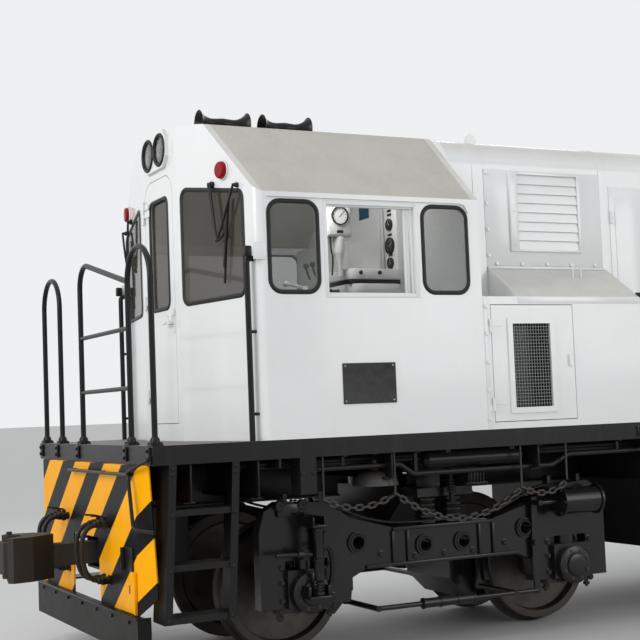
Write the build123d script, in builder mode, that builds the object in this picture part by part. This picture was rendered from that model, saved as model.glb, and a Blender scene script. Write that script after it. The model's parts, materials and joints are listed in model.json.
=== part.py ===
from build123d import *
import os
from math import hypot

os.makedirs("parts", exist_ok=True)

# Narrow-gauge diesel-electric locomotive: one end cab, a narrow hood behind it, two four-wheel bogies.
# Frame: millimetres, +X towards the cab end, +Y to the left, +Z up. The origin is on the plane of the
# wheel flange tips, midway between the coupler faces. The rail head is one flange height above it.

# Running gear
tread_radius = 457
flange_height = 28
axle_z = tread_radius + flange_height
wheel_back_y = 423
wheel_width = 127
wheelbase = 2190
bogie_centre_x = 3050
axle_radius = 90
journal_radius = 65
journal_clearance = 0.05

# Underframe
half_width = 1370
deck_z = 1528
deck_thickness = 12
sill_height = 122
sill_thickness = 12
deck_end_x = 5360
beam_end_x = deck_end_x - 20
beam_bottom_z = 1240
coupler_z = 780
coupler_face_x = 5990

# Cab
cab_rear_x = 2903
cab_corner_x = 4615
cab_nose_x = 4791
cab_nose_half = 390
cab_wall = 50
cab_corner_radius = 70
chamfer_foot_z = 3145
chamfer_crest_z = 3702
chamfer_crest_y = 768
roof_crown_z = 3775

# Hood
hood_half = 1000
hood_top_z = 3680
hood_radius = 220
hood_skin = 12
hood_split_x = 1500
radiator_front_x = -2700
hood_rear_x = -4700
cabinet_side_z = 2462
lid_front_x = 2600
cabinet_slope_z = 2710

# Clearances
moving_gap = 5
seat_gap = 0.5
pin_clearance = 0.05


def side_plane(y):
    """Plane square to Y: sketch x is X, sketch y is Z, and an extrusion runs towards -Y."""
    return Plane.XZ.offset(-y)


def cross_plane(x):
    """Plane square to X: sketch x is Y, sketch y is Z, and an extrusion runs towards +X."""
    return Plane.YZ.offset(x)


def level(z):
    """Horizontal plane at height z."""
    return Plane.XY.offset(z)


def block(x, y, z, mode=Mode.ADD):
    """Box between two limits along each axis."""
    with Locations(((x[0] + x[1]) / 2, (y[0] + y[1]) / 2, (z[0] + z[1]) / 2)):
        Box(abs(x[1] - x[0]), abs(y[1] - y[0]), abs(z[1] - z[0]), mode=mode)


def rod(start, end, radius, mode=Mode.ADD):
    """Round bar from one point to another."""
    run = Vector(*end) - Vector(*start)
    with Locations(Plane(origin=start, z_dir=run).location):
        Cylinder(radius, run.length, align=(Align.CENTER, Align.CENTER, Align.MIN), mode=mode)


def pipe(points, bend, radius):
    """Round pipe: straight runs joined by tangent bends."""
    with BuildLine() as route:
        FilletPolyline(*points, radius=bend)
    runs = []
    for run in route.edges():
        with BuildSketch(Plane(origin=run @ 0, z_dir=run % 0)) as section:
            Circle(radius)
        if run.geom_type == GeomType.LINE:
            runs.append(extrude(section.sketch, amount=run.length, mode=Mode.PRIVATE))
        else:
            runs.append(sweep(section.sketch, path=run, mode=Mode.PRIVATE))
    add(runs)


def save(builder, label):
    """Name a finished piece and write it."""
    builder.part.label = label
    export_step(builder.part, "parts/" + label + ".step")


# Underframe
sill_bottom_z = deck_z - deck_thickness - sill_height + deck_thickness
beam_y = 330
beam_web = 20
bolster_half = 250
bolster_reach = 960
pivot_radius = 200
pivot_seat_z = 1165
bearer_y = 700
bearer_z = 1225
jack_pad_x = 4306
pocket_half = 160
pocket_plate = 16
pocket_rear_x = 4700
coupler_pin_x = 4980

with BuildPart() as underframe:
    block((-deck_end_x, deck_end_x), (-half_width, half_width), (deck_z - deck_thickness, deck_z))
    # Side sills: channels that open inward
    for side in (-1, 1):
        block((-deck_end_x, deck_end_x), (side * half_width, side * (half_width - sill_thickness)),
              (sill_bottom_z, deck_z - deck_thickness))
        block((-deck_end_x, deck_end_x), (side * half_width, side * (half_width - 85)),
              (sill_bottom_z, sill_bottom_z + sill_thickness))
        # Main beams
        block((-beam_end_x, beam_end_x), (side * (beam_y - beam_web / 2), side * (beam_y + beam_web / 2)),
              (beam_bottom_z, deck_z - deck_thickness))
        block((-beam_end_x, beam_end_x), (side * (beam_y - 90), side * (beam_y + 90)),
              (beam_bottom_z, beam_bottom_z + 22))
    # Cross members
    for x in (-4500, -1500, -500, 500, 1500, 4500):
        block((x - 8, x + 8), (-half_width + sill_thickness, half_width - sill_thickness),
              (sill_bottom_z - 60, deck_z - deck_thickness))
    for end in (-1, 1):
        # Buffer beam
        block((end * (deck_end_x - 25), end * deck_end_x), (-half_width, half_width),
              (sill_bottom_z, deck_z - deck_thickness))
        # Body bolster with its centre plate and side bearers
        block((end * bogie_centre_x - bolster_half, end * bogie_centre_x + bolster_half),
              (-bolster_reach, bolster_reach), (beam_bottom_z + 50, deck_z - deck_thickness))
        block((end * bogie_centre_x - bolster_half, end * bogie_centre_x + bolster_half),
              (-half_width + sill_thickness, half_width - sill_thickness),
              (sill_bottom_z + sill_thickness, deck_z - deck_thickness))
        with Locations((end * bogie_centre_x, 0, pivot_seat_z)):
            Cylinder(pivot_radius, beam_bottom_z + 60 - pivot_seat_z,
                     align=(Align.CENTER, Align.CENTER, Align.MIN))
        for side in (-1, 1):
            with Locations((end * bogie_centre_x, side * bearer_y, (bearer_z + seat_gap + beam_bottom_z + 50) / 2)):
                Box(240, 180, beam_bottom_z + 50 - bearer_z - seat_gap)
            # Draft gear pocket plates
            block((end * pocket_rear_x, end * beam_end_x),
                  (side * pocket_half, side * (pocket_half + pocket_plate)),
                  (coupler_z - 120, deck_z - deck_thickness))
            # Jack pads
            block((end * (jack_pad_x - 58), end * (jack_pad_x + 58)),
                  (side * (half_width - 150), side * half_width), (1168, sill_bottom_z))
        block((end * pocket_rear_x, end * beam_end_x), (-pocket_half, pocket_half),
              (coupler_z - 120, coupler_z - 104))
        block((end * pocket_rear_x, end * beam_end_x), (-pocket_half, pocket_half),
              (coupler_z + 104, coupler_z + 120))
        block((end * pocket_rear_x, end * (pocket_rear_x + 20)), (-pocket_half, pocket_half),
              (coupler_z - 120, deck_z - deck_thickness))
        rod((end * coupler_pin_x, 0, coupler_z - 118), (end * coupler_pin_x, 0, coupler_z + 118), 30)
save(underframe, "underframe")

# End plates: a striped plate with wings folded back, over a pilot channel
plate_x = deck_end_x + 30
plate_thickness = 10
plate_half = 1130
plate_bottom_z = 470
wing_top_reach = 130
wing_bottom_reach = 185
wing_bottom_z = 590
wing_fold = 22
coupler_gap_half = (330, 300)
coupler_gap_top_z = 900
pilot_half = 1220
pilot_front_x = plate_x + 50
pilot_back_x = plate_x - 40
pilot_thickness = 12
pilot_bottom_z = 230

with BuildPart() as end_plates:
    for end in (-1, 1):
        with BuildSketch(cross_plane(end * plate_x)) as face:
            with BuildLine():
                Polyline((-plate_half, plate_bottom_z), (plate_half, plate_bottom_z), (plate_half, sill_bottom_z),
                         (-plate_half, sill_bottom_z), close=True)
            make_face()
            with BuildLine():
                Polyline((-coupler_gap_half[0], plate_bottom_z), (coupler_gap_half[0], plate_bottom_z),
                         (coupler_gap_half[1], coupler_gap_top_z), (-coupler_gap_half[1], coupler_gap_top_z),
                         close=True)
            make_face(mode=Mode.SUBTRACT)
        extrude(amount=end * plate_thickness)
        # Flange by which the plate hangs from the buffer beam
        block((end * beam_end_x, end * (plate_x + plate_thickness)), (-plate_half, plate_half),
              (sill_bottom_z - plate_thickness, sill_bottom_z))
        # Wings folded back towards the steps, wider at the foot than at the top
        for side in (-1, 1):
            outward = Vector(-end, 0, 0).rotate(Axis.Z, -side * end * (90 - wing_fold))
            wing_plane = Plane(origin=(end * (plate_x + plate_thickness), side * plate_half, 0), x_dir=outward,
                               z_dir=outward.cross(Vector(0, 0, 1)))
            with BuildSketch(wing_plane) as wing:
                with BuildLine():
                    Polyline((-2, plate_bottom_z), (wing_bottom_reach, wing_bottom_z),
                             (wing_bottom_reach, wing_bottom_z + 40), (wing_top_reach, sill_bottom_z),
                             (-2, sill_bottom_z), close=True)
                make_face()
            extrude(amount=-side * end * plate_thickness)
        # Pilot channel under the plate: ledge, front face and end plates
        block((end * plate_x, end * pilot_front_x), (-pilot_half, pilot_half),
              (plate_bottom_z - pilot_thickness, plate_bottom_z))
        block((end * (pilot_front_x - pilot_thickness), end * pilot_front_x), (-pilot_half, pilot_half),
              (pilot_bottom_z, plate_bottom_z))
        for side in (-1, 1):
            block((end * pilot_back_x, end * pilot_front_x),
                  (side * (pilot_half - pilot_thickness), side * pilot_half), (pilot_bottom_z, plate_bottom_z))
save(end_plates, "end_plates")

# Corner steps: two stiles that lean forward towards the foot, with three treads
step_rear_x = 4785
step_front_x = 5257
step_lean = 58
step_inner_y = 1150
stile_face = 50
stile_plate = 10
tread_z = (461, 781, 1118)
tread_plate = 8
tread_lip = 38
step_bottom_z = tread_z[0] + tread_plate - tread_lip


def step_x(x, z):
    """Place along the locomotive of a point of the leaning steps, given at the top."""
    return x + step_lean * (sill_bottom_z - z) / (sill_bottom_z - step_bottom_z)


def stile_outline(end, x, width):
    """Leaning strip from the sill down to the foot of the steps."""
    with BuildSketch() as strip:
        with BuildLine():
            Polyline((end * x, sill_bottom_z), (end * (x + width), sill_bottom_z),
                     (end * (x + width + step_lean), step_bottom_z), (end * (x + step_lean), step_bottom_z),
                     close=True)
        make_face()
    return strip.sketch


with BuildPart() as corner_steps:
    for end in (-1, 1):
        for side in (-1, 1):
            outside = side_plane(side * half_width)
            for x, face, web in ((step_rear_x, 0, 0), (step_front_x, -stile_face, -stile_plate)):
                extrude(outside * stile_outline(end, x + face, stile_face), amount=side * stile_plate)
                extrude(outside * stile_outline(end, x + web, stile_plate), amount=side * (half_width - step_inner_y))
            for z in tread_z:
                tread_x = (end * (step_x(step_rear_x, z) + stile_plate - 2),
                           end * (step_x(step_front_x, z) - stile_plate + 2))
                block(tread_x, (side * step_inner_y, side * (half_width - stile_plate)), (z, z + tread_plate))
                block(tread_x, (side * (half_width - 2 * stile_plate), side * (half_width - stile_plate)),
                      (z + tread_plate - tread_lip, z + tread_plate))
save(corner_steps, "corner_steps")

# Cab
facet_run = cab_corner_x - cab_nose_x
facet_rise = half_width - cab_nose_half
facet_length = hypot(facet_run, facet_rise)
facet_normal = (facet_rise / facet_length, -facet_run / facet_length)
inner_nose_x = cab_nose_x - cab_wall / facet_normal[0]
inner_corner_x = cab_corner_x - cab_wall / facet_normal[0]
inner_side_y = half_width - cab_wall
inner_side_x = inner_corner_x + (half_width - inner_side_y) * facet_run / -facet_rise
left_facet = Plane(origin=(cab_nose_x, cab_nose_half, 0),
                   x_dir=(facet_run / facet_length, facet_rise / facet_length, 0),
                   z_dir=(facet_normal[0], facet_normal[1], 0))
right_facet = Plane(origin=(cab_corner_x, -half_width, 0),
                    x_dir=(-facet_run / facet_length, facet_rise / facet_length, 0),
                    z_dir=(facet_normal[0], -facet_normal[1], 0))


def cab_section(inset):
    """Cross-section of the cab: upright sides, sloping shoulders and a slightly cambered roof."""
    with BuildSketch() as section:
        with BuildLine():
            Polyline((half_width - inset, deck_z), (half_width - inset, chamfer_foot_z - 0.6 * inset),
                     (chamfer_crest_y - 0.4 * inset, chamfer_crest_z - inset))
            ThreePointArc((chamfer_crest_y - 0.4 * inset, chamfer_crest_z - inset),
                          (0, roof_crown_z - inset), (-chamfer_crest_y + 0.4 * inset, chamfer_crest_z - inset))
            Polyline((-chamfer_crest_y + 0.4 * inset, chamfer_crest_z - inset),
                     (-half_width + inset, chamfer_foot_z - 0.6 * inset), (-half_width + inset, deck_z),
                     (half_width - inset, deck_z))
        make_face()
    return section.sketch


side_windows = (  # rear edge, front edge, bottom, top, corner radius, rubber outside
    (4175, 4526, 2487, 3082, 80, True),
    (3426, 4109, 2470, 3078, 8, False),
    (3011, 3365, 2487, 3082, 80, True),
)
shield_inner = (452 - cab_nose_half) / facet_normal[0]
shield_outer = (1220 - cab_nose_half) / facet_normal[0]
shield_bottom_z = 2483
shield_top_inner_z = 3294
shield_top_outer_z = 3164
shield_radius = 60


def shield_outline(grow, facet):
    """Windshield outline in the plane of one front facet, grown by a margin."""
    near = shield_inner - grow
    far = shield_outer + grow
    if facet is right_facet:
        near, far = facet_length - near, facet_length - far
    with BuildSketch() as outline:
        with BuildLine():
            Polyline((near, shield_bottom_z - grow), (far, shield_bottom_z - grow),
                     (far, shield_top_outer_z + grow), (near, shield_top_inner_z + grow), close=True)
        make_face()
        fillet(outline.vertices(), shield_radius + grow)
    return outline.sketch


def window_outline(rear, front, low, high, radius, grow):
    """Side window outline, grown by a margin."""
    with BuildSketch() as outline:
        with Locations(((rear + front) / 2, (low + high) / 2)):
            RectangleRounded(front - rear + 2 * grow, high - low + 2 * grow, radius + grow)
    return outline.sketch


door_half = 295
door_bottom_z = 1655
door_top_z = 3445
door_radius = 145
door_window_half = 192
door_window_z = (2486, 3287)
hinge_x = cab_nose_x + 14
hinge_y = -(door_half + 10)
hinge_pin_radius = 6
hinge_barrel_radius = 12
door_hinge_z = (1850, 2550, 3200)
drip_z = 3110


def door_outline(grow):
    """Front door outline with rounded top corners, grown by a margin."""
    with BuildSketch() as outline:
        with Locations((0, (door_bottom_z + door_top_z) / 2)):
            Rectangle(2 * (door_half + grow), door_top_z - door_bottom_z + 2 * grow)
        fillet(outline.vertices().group_by(Axis.Y)[-1], door_radius + grow)
    return outline.sketch


with BuildPart() as cab_block:
    with BuildSketch(level(deck_z)):
        with BuildLine():
            Polyline((cab_rear_x, half_width), (cab_corner_x, half_width), (cab_nose_x, cab_nose_half),
                     (cab_nose_x, -cab_nose_half), (cab_corner_x, -half_width), (cab_rear_x, -half_width),
                     close=True)
        make_face()
    extrude(amount=roof_crown_z - deck_z)
    extrude(cross_plane(cab_rear_x - 10) * cab_section(0), amount=2000, mode=Mode.INTERSECT)
    fillet(cab_block.edges().filter_by(Axis.Z).group_by(SortBy.LENGTH)[0].filter_by(
        lambda edge: abs(edge.center().X - cab_corner_x) < 1), cab_corner_radius)

with BuildPart() as cab_shell:
    add(cab_block.part)
    # Inner space, open at the top
    with BuildSketch(level(deck_z)):
        with BuildLine():
            Polyline((cab_rear_x + cab_wall, inner_side_y), (inner_side_x, inner_side_y),
                     (inner_nose_x, cab_nose_half), (inner_nose_x, -cab_nose_half),
                     (inner_side_x, -inner_side_y), (cab_rear_x + cab_wall, -inner_side_y), close=True)
        make_face()
    extrude(amount=roof_crown_z - deck_z, mode=Mode.SUBTRACT)
    # Seat of the roof on the side walls
    with BuildSketch(level(chamfer_foot_z)):
        with BuildLine():
            Polyline((cab_rear_x + cab_wall, half_width), (inner_corner_x, half_width),
                     (inner_nose_x, cab_nose_half), (inner_nose_x, -cab_nose_half),
                     (inner_corner_x, -half_width), (cab_rear_x + cab_wall, -half_width), close=True)
        make_face()
    extrude(amount=roof_crown_z - chamfer_foot_z, mode=Mode.SUBTRACT)
    # Windows and door
    for rear, front, low, high, radius, rubber in side_windows:
        extrude(side_plane(half_width + 1) * window_outline(rear, front, low, high, radius, 0),
                amount=2 * half_width + 2, mode=Mode.SUBTRACT)
    for facet in (left_facet, right_facet):
        extrude(facet.offset(1) * shield_outline(0, facet), amount=-cab_wall - 2, mode=Mode.SUBTRACT)
    extrude(cross_plane(inner_nose_x - 1) * door_outline(moving_gap), amount=cab_wall + 20,
            mode=Mode.SUBTRACT)
    # Hinge brackets with their pins
    for z in door_hinge_z:
        block((cab_nose_x, cab_nose_x + 8), (hinge_y - 60, hinge_y), (z - 45, z - 0.5))
        rod((hinge_x, hinge_y, z - 45), (hinge_x, hinge_y, z - 0.5), hinge_barrel_radius)
        rod((hinge_x, hinge_y, z - 10), (hinge_x, hinge_y, z + 52), hinge_pin_radius)
    # Drip rails over the side windows, with a down-turned rear end
    for side in (-1, 1):
        with BuildSketch(side_plane(side * half_width)) as strip:
            with BuildLine():
                Polyline((4540, drip_z), (4540, drip_z + 14), (3060, drip_z + 14), (3010, drip_z - 6),
                         (2985, drip_z - 60), (2999, drip_z - 62), (3022, drip_z - 14), (3064, drip_z),
                         close=True)
            make_face()
        extrude(amount=-side * 16)
save(cab_shell, "cab_shell")

with BuildPart() as cab_roof:
    with BuildSketch(level(chamfer_foot_z)):
        with BuildLine():
            Polyline((cab_rear_x + cab_wall, half_width), (inner_corner_x, half_width),
                     (inner_nose_x, cab_nose_half), (inner_nose_x, -cab_nose_half),
                     (inner_corner_x, -half_width), (cab_rear_x + cab_wall, -half_width), close=True)
        make_face()
    extrude(amount=roof_crown_z - chamfer_foot_z)
    extrude(cross_plane(cab_rear_x) * cab_section(0), amount=2000, mode=Mode.INTERSECT)
    extrude(cross_plane(cab_rear_x) * cab_section(cab_wall), amount=2000, mode=Mode.SUBTRACT)
save(cab_roof, "cab_roof")

pane = 8
rubber_proud = 8
rubber_inside = 14
rubber_outside = 18
with BuildPart() as window_rubbers:
    for side in (-1, 1):
        for rear, front, low, high, radius, rubber in side_windows:
            if rubber:
                outer = window_outline(rear, front, low, high, radius, rubber_outside)
                hole = window_outline(rear, front, low, high, radius, -rubber_inside)
                extrude(side_plane(side * half_width) * (outer - hole), amount=-side * rubber_proud)
    for facet in (left_facet, right_facet):
        outer = shield_outline(rubber_outside, facet)
        hole = shield_outline(-rubber_inside, facet)
        extrude(facet * (outer - hole), amount=rubber_proud)
save(window_rubbers, "window_rubbers")

with BuildPart() as cab_glass:
    for side in (-1, 1):
        for rear, front, low, high, radius, rubber in side_windows:
            if rubber:
                extrude(side_plane(side * half_width) * window_outline(rear, front, low, high, radius, -seat_gap),
                        amount=side * pane)
    for facet in (left_facet, right_facet):
        extrude(facet * shield_outline(-seat_gap, facet), amount=-pane)
save(cab_glass, "cab_glass")

# Sliding side windows: fixed white frame in the opening, two sashes, the front one slid back
frame_rear, frame_front, frame_low, frame_high = side_windows[1][:4]
frame_bar = 22
sash_bar = 26
with BuildPart() as sliding_windows:
    for side in (-1, 1):
        outer = window_outline(frame_rear, frame_front, frame_low, frame_high, 8, 0)
        hole = window_outline(frame_rear, frame_front, frame_low, frame_high, 8, -frame_bar + 16)
        extrude(side_plane(side * (half_width + 4)) * (outer - hole), amount=side * (cab_wall + 4))
        lip = window_outline(frame_rear, frame_front, frame_low, frame_high, 8, frame_bar)
        extrude(side_plane(side * half_width) * (lip - outer), amount=-side * 4)
        # Both sashes stand at the rear half of the opening, one behind the other
        for depth in (16, 34):
            sash = window_outline(frame_rear + 6, (frame_rear + frame_front) / 2 + 14,
                                  frame_low + 6, frame_high - 6, 4, 0)
            glazed = window_outline(frame_rear + 6, (frame_rear + frame_front) / 2 + 14,
                                    frame_low + 6, frame_high - 6, 4, -sash_bar + 24)
            extrude(side_plane(side * (half_width - depth)) * (sash - glazed), amount=side * 12)
save(sliding_windows, "sliding_windows")

# Front door leaf with its hinge barrels, straps and handle
door_face_x = cab_nose_x
door_leaf = 40
with BuildPart() as cab_door:
    extrude(cross_plane(door_face_x - door_leaf) * door_outline(0), amount=door_leaf)
    with BuildSketch(cross_plane(door_face_x - door_leaf - 1)) as opening:
        with Locations((0, sum(door_window_z) / 2)):
            RectangleRounded(2 * door_window_half, door_window_z[1] - door_window_z[0], 60)
    extrude(amount=door_leaf + 2, mode=Mode.SUBTRACT)
    for z in door_hinge_z:
        block((door_face_x, door_face_x + 8), (-door_half, -door_half + 110), (z, z + 50))
        block((door_face_x + 2, door_face_x + 8), (hinge_y, -door_half), (z, z + 50))
        rod((hinge_x, hinge_y, z), (hinge_x, hinge_y, z + 50), hinge_barrel_radius)
        rod((hinge_x, hinge_y, z - 1), (hinge_x, hinge_y, z + 54), hinge_pin_radius + pin_clearance,
            mode=Mode.SUBTRACT)
    # Lever handle on its plate
    block((door_face_x, door_face_x + 6), (245, 285), (2300, 2440))
    rod((door_face_x, 265, 2370), (door_face_x + 40, 265, 2370), 9)
    block((door_face_x + 30, door_face_x + 42), (160, 274), (2361, 2379))
save(cab_door, "cab_door")

with BuildPart() as cab_door_glass:
    with BuildSketch(cross_plane(door_face_x - 24)) as opening:
        with Locations((0, sum(door_window_z) / 2)):
            RectangleRounded(2 * door_window_half, door_window_z[1] - door_window_z[0], 60)
    extrude(amount=pane)
save(cab_door_glass, "cab_door_glass")

# Lamps
lamp_y = 125
lamp_z = 3642
lamp_radius = 108
lamp_box_half = 251
lamp_box_z = (3508, 3782)
lamp_proud = 26
marker_radius = 58
marker_y = 1003
marker_z = 3339
marker_proud = 42
rear_marker_y = 780
rear_marker_z = 3180


def lamp_box_outline():
    """Headlight box face: flat top, chamfered lower corners."""
    with BuildSketch() as outline:
        with BuildLine():
            Polyline((-lamp_box_half, lamp_box_z[1] - 60), (-lamp_box_half + 60, lamp_box_z[1]),
                     (lamp_box_half - 60, lamp_box_z[1]), (lamp_box_half, lamp_box_z[1] - 60),
                     (lamp_box_half, lamp_box_z[0] + 70), (lamp_box_half - 70, lamp_box_z[0]),
                     (-lamp_box_half + 70, lamp_box_z[0]), (-lamp_box_half, lamp_box_z[0] + 70), close=True)
        make_face()
        with Locations((-lamp_y, lamp_z), (lamp_y, lamp_z)):
            Circle(lamp_radius, mode=Mode.SUBTRACT)
    return outline.sketch


rear_lamp_drop = 190
with BuildPart() as headlight_boxes:
    extrude(cross_plane(cab_nose_x) * lamp_box_outline(), amount=lamp_proud)
    rear_seat = Plane(origin=(hood_rear_x, 0, -rear_lamp_drop), x_dir=(0, 1, 0), z_dir=(1, 0, 0))
    extrude(rear_seat * lamp_box_outline(), amount=-lamp_proud)
save(headlight_boxes, "headlight_boxes")

with BuildPart() as headlamps:
    for y in (-lamp_y, lamp_y):
        rod((cab_nose_x, y, lamp_z), (cab_nose_x + lamp_proud - 6, y, lamp_z), lamp_radius - 0.3)
        z = lamp_z - rear_lamp_drop
        rod((hood_rear_x, y, z), (hood_rear_x - lamp_proud + 6, y, z), lamp_radius - 0.3)
save(headlamps, "headlamps")

marker_facet_u = (marker_y - cab_nose_half) / facet_normal[0]
with BuildPart() as marker_lamps:
    for facet, u in ((left_facet, marker_facet_u), (right_facet, facet_length - marker_facet_u)):
        with BuildSketch(facet) as lens:
            with Locations((u, marker_z)):
                Circle(marker_radius)
        extrude(amount=marker_proud)
    fillet(marker_lamps.edges().filter_by(GeomType.CIRCLE).filter_by(
        lambda edge: edge.center().X > cab_corner_x + 90), 16)
    for y in (-rear_marker_y, rear_marker_y):
        rod((hood_rear_x, y, rear_marker_z), (hood_rear_x - marker_proud, y, rear_marker_z), marker_radius)
save(marker_lamps, "marker_lamps")

# Cab fittings
stand_x = (3060, 3420)
stand_y = (-420, 180)
stand_top_z = 2420
brake_stand_x = 3560
brake_stand_y = -120
with BuildPart() as control_stand:
    with BuildSketch(side_plane(stand_y[1])) as profile:
        with BuildLine():
            Polyline((stand_x[0], deck_z), (stand_x[1] - 60, deck_z), (stand_x[1], stand_top_z - 120),
                     (stand_x[1], stand_top_z), (stand_x[0] + 120, stand_top_z + 130),
                     (stand_x[0], stand_top_z + 130), close=True)
        make_face()
    extrude(amount=stand_y[1] - stand_y[0])
    fillet(control_stand.edges().filter_by(Axis.Z), 20)
    # Brake valve pedestal with its handle
    rod((brake_stand_x, brake_stand_y, deck_z), (brake_stand_x, brake_stand_y, 2480), 55)
    rod((brake_stand_x, brake_stand_y, deck_z), (brake_stand_x, brake_stand_y, deck_z + 20), 120)
    rod((brake_stand_x, brake_stand_y, 2400), (brake_stand_x, brake_stand_y, 2640), 85)
    rod((brake_stand_x, brake_stand_y, 2640), (brake_stand_x, brake_stand_y, 2680), 30)
    rod((brake_stand_x, brake_stand_y, 2668), (brake_stand_x + 190, brake_stand_y + 60, 2690), 11)
    with Locations((brake_stand_x + 190, brake_stand_y + 60, 2690)):
        Sphere(24)
save(control_stand, "control_stand")

gauge_panel_y = 330
gauge_panel_x = (cab_rear_x + cab_wall, 3160)
gauge_panel_z = (2400, 3080)
gauge_rows = (2560, 2700, 2840, 2980)
gauge_radius = 52
gauge_depth = 34
with BuildPart() as gauge_panel:
    block(gauge_panel_x, (gauge_panel_y - 60, gauge_panel_y), gauge_panel_z)
    for z in gauge_rows:
        rod((sum(gauge_panel_x) / 2, gauge_panel_y, z), (sum(gauge_panel_x) / 2, gauge_panel_y + gauge_depth, z),
            gauge_radius)
save(gauge_panel, "gauge_panel")

seat_places = ((4060, -760), (4060, 760))
seat_base_z = 2040
with BuildPart() as seat_posts:
    for x, y in seat_places:
        rod((x, y, deck_z), (x, y, deck_z + 14), 150)
        rod((x, y, deck_z), (x, y, seat_base_z), 38)
        block((x - 150, x + 150), (y - 150, y + 150), (seat_base_z - 16, seat_base_z))
        block((x - 262, x - 250), (y - 60, y + 60), (seat_base_z - 16, seat_base_z + 420))
        block((x - 262, x - 150), (y - 60, y + 60), (seat_base_z - 16, seat_base_z))
save(seat_posts, "seat_posts")

with BuildPart() as seat_cushions:
    for x, y in seat_places:
        block((x - 200, x + 210), (y - 220, y + 220), (seat_base_z, seat_base_z + 90))
        block((x - 250, x - 180), (y - 210, y + 210), (seat_base_z + 120, seat_base_z + 520))
    fillet(seat_cushions.edges().filter_by(Axis.Z), 30)
save(seat_cushions, "seat_cushions")

# Wipers: motor spindle above each windshield, arm and blade hanging down
wiper_top_z = 3320
wiper_reach = 560
with BuildPart() as wipers:
    for facet, u in ((left_facet, shield_inner + 330), (right_facet, facet_length - shield_inner - 330)):
        with BuildSketch(facet) as spindle:
            with Locations((u, wiper_top_z)):
                Circle(24)
        extrude(amount=44)
        with BuildSketch(facet.offset(30)) as arm:
            with BuildLine():
                Polyline((u - 7, wiper_top_z), (u + 7, wiper_top_z), (u + 45, wiper_top_z - wiper_reach),
                         (u + 35, wiper_top_z - wiper_reach), close=True)
            make_face()
        extrude(amount=8)
        with BuildSketch(facet.offset(17)) as blade:
            with BuildLine():
                Polyline((u + 32, wiper_top_z - wiper_reach + 230), (u + 48, wiper_top_z - wiper_reach + 230),
                         (u + 48, wiper_top_z - wiper_reach - 200), (u + 32, wiper_top_z - wiper_reach - 200),
                         close=True)
            make_face()
        extrude(amount=14)
save(wipers, "wipers")

# Horns: two double-ended air horns on the roof, bells revolved about their own axis
horn_places = (4257, 3739)
horn_half = 195
horn_throat = 36
horn_mouth = 94
horn_rim = 8
horn_axis_z = roof_crown_z + horn_mouth + 28
with BuildPart() as horns:
    for x in horn_places:
        block((x - 60, x + 60), (-50, 50), (roof_crown_z + 0.3, roof_crown_z + 14))
        block((x - 35, x + 35), (-25, 25), (roof_crown_z + 0.3, horn_axis_z))
        for way in (-1, 1):
            mouth_x = x + way * horn_half
            with BuildSketch(side_plane(0)) as bell_half:
                with BuildLine():
                    Polyline((x + way * 120, horn_axis_z), (x, horn_axis_z), (x, horn_axis_z + horn_throat + 6),
                             (x + way * 70, horn_axis_z + horn_throat))
                    ThreePointArc((x + way * 70, horn_axis_z + horn_throat),
                                  (x + way * 150, horn_axis_z + horn_throat + 18),
                                  (mouth_x, horn_axis_z + horn_mouth))
                    Line((mouth_x, horn_axis_z + horn_mouth), (mouth_x, horn_axis_z + horn_mouth - horn_rim))
                    ThreePointArc((mouth_x, horn_axis_z + horn_mouth - horn_rim),
                                  (x + way * 155, horn_axis_z + horn_throat + 8),
                                  (x + way * 120, horn_axis_z + horn_throat - 12))
                    Line((x + way * 120, horn_axis_z + horn_throat - 12), (x + way * 120, horn_axis_z))
                make_face()
            revolve(axis=Axis((x, 0, horn_axis_z), (1, 0, 0)))
save(horns, "horns")

# Hood


def cabinet_section(inset, lid_rise):
    """Section of the equipment hood: the narrow upper hood over wide cabinets, whose lids rise towards it."""
    with BuildSketch() as section:
        with Locations((0, (deck_z + hood_top_z - inset) / 2)):
            Rectangle(2 * (hood_half - inset), hood_top_z - inset - deck_z)
        fillet(section.vertices().group_by(Axis.Y)[-1], hood_radius - inset)
        with BuildLine():
            Polyline((half_width - inset, deck_z), (half_width - inset, cabinet_side_z - inset),
                     (hood_half - inset, cabinet_side_z + lid_rise - inset),
                     (-hood_half + inset, cabinet_side_z + lid_rise - inset),
                     (-half_width + inset, cabinet_side_z - inset), (-half_width + inset, deck_z), close=True)
        make_face()
    return section.sketch


def hood_section(inset):
    """Section of the engine hood with rounded upper corners."""
    with BuildSketch() as section:
        with Locations((0, (deck_z + hood_top_z - inset) / 2)):
            Rectangle(2 * (hood_half - inset), hood_top_z - inset - deck_z)
        fillet(section.vertices().group_by(Axis.Y)[-1], hood_radius - inset)
    return section.sketch


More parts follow.
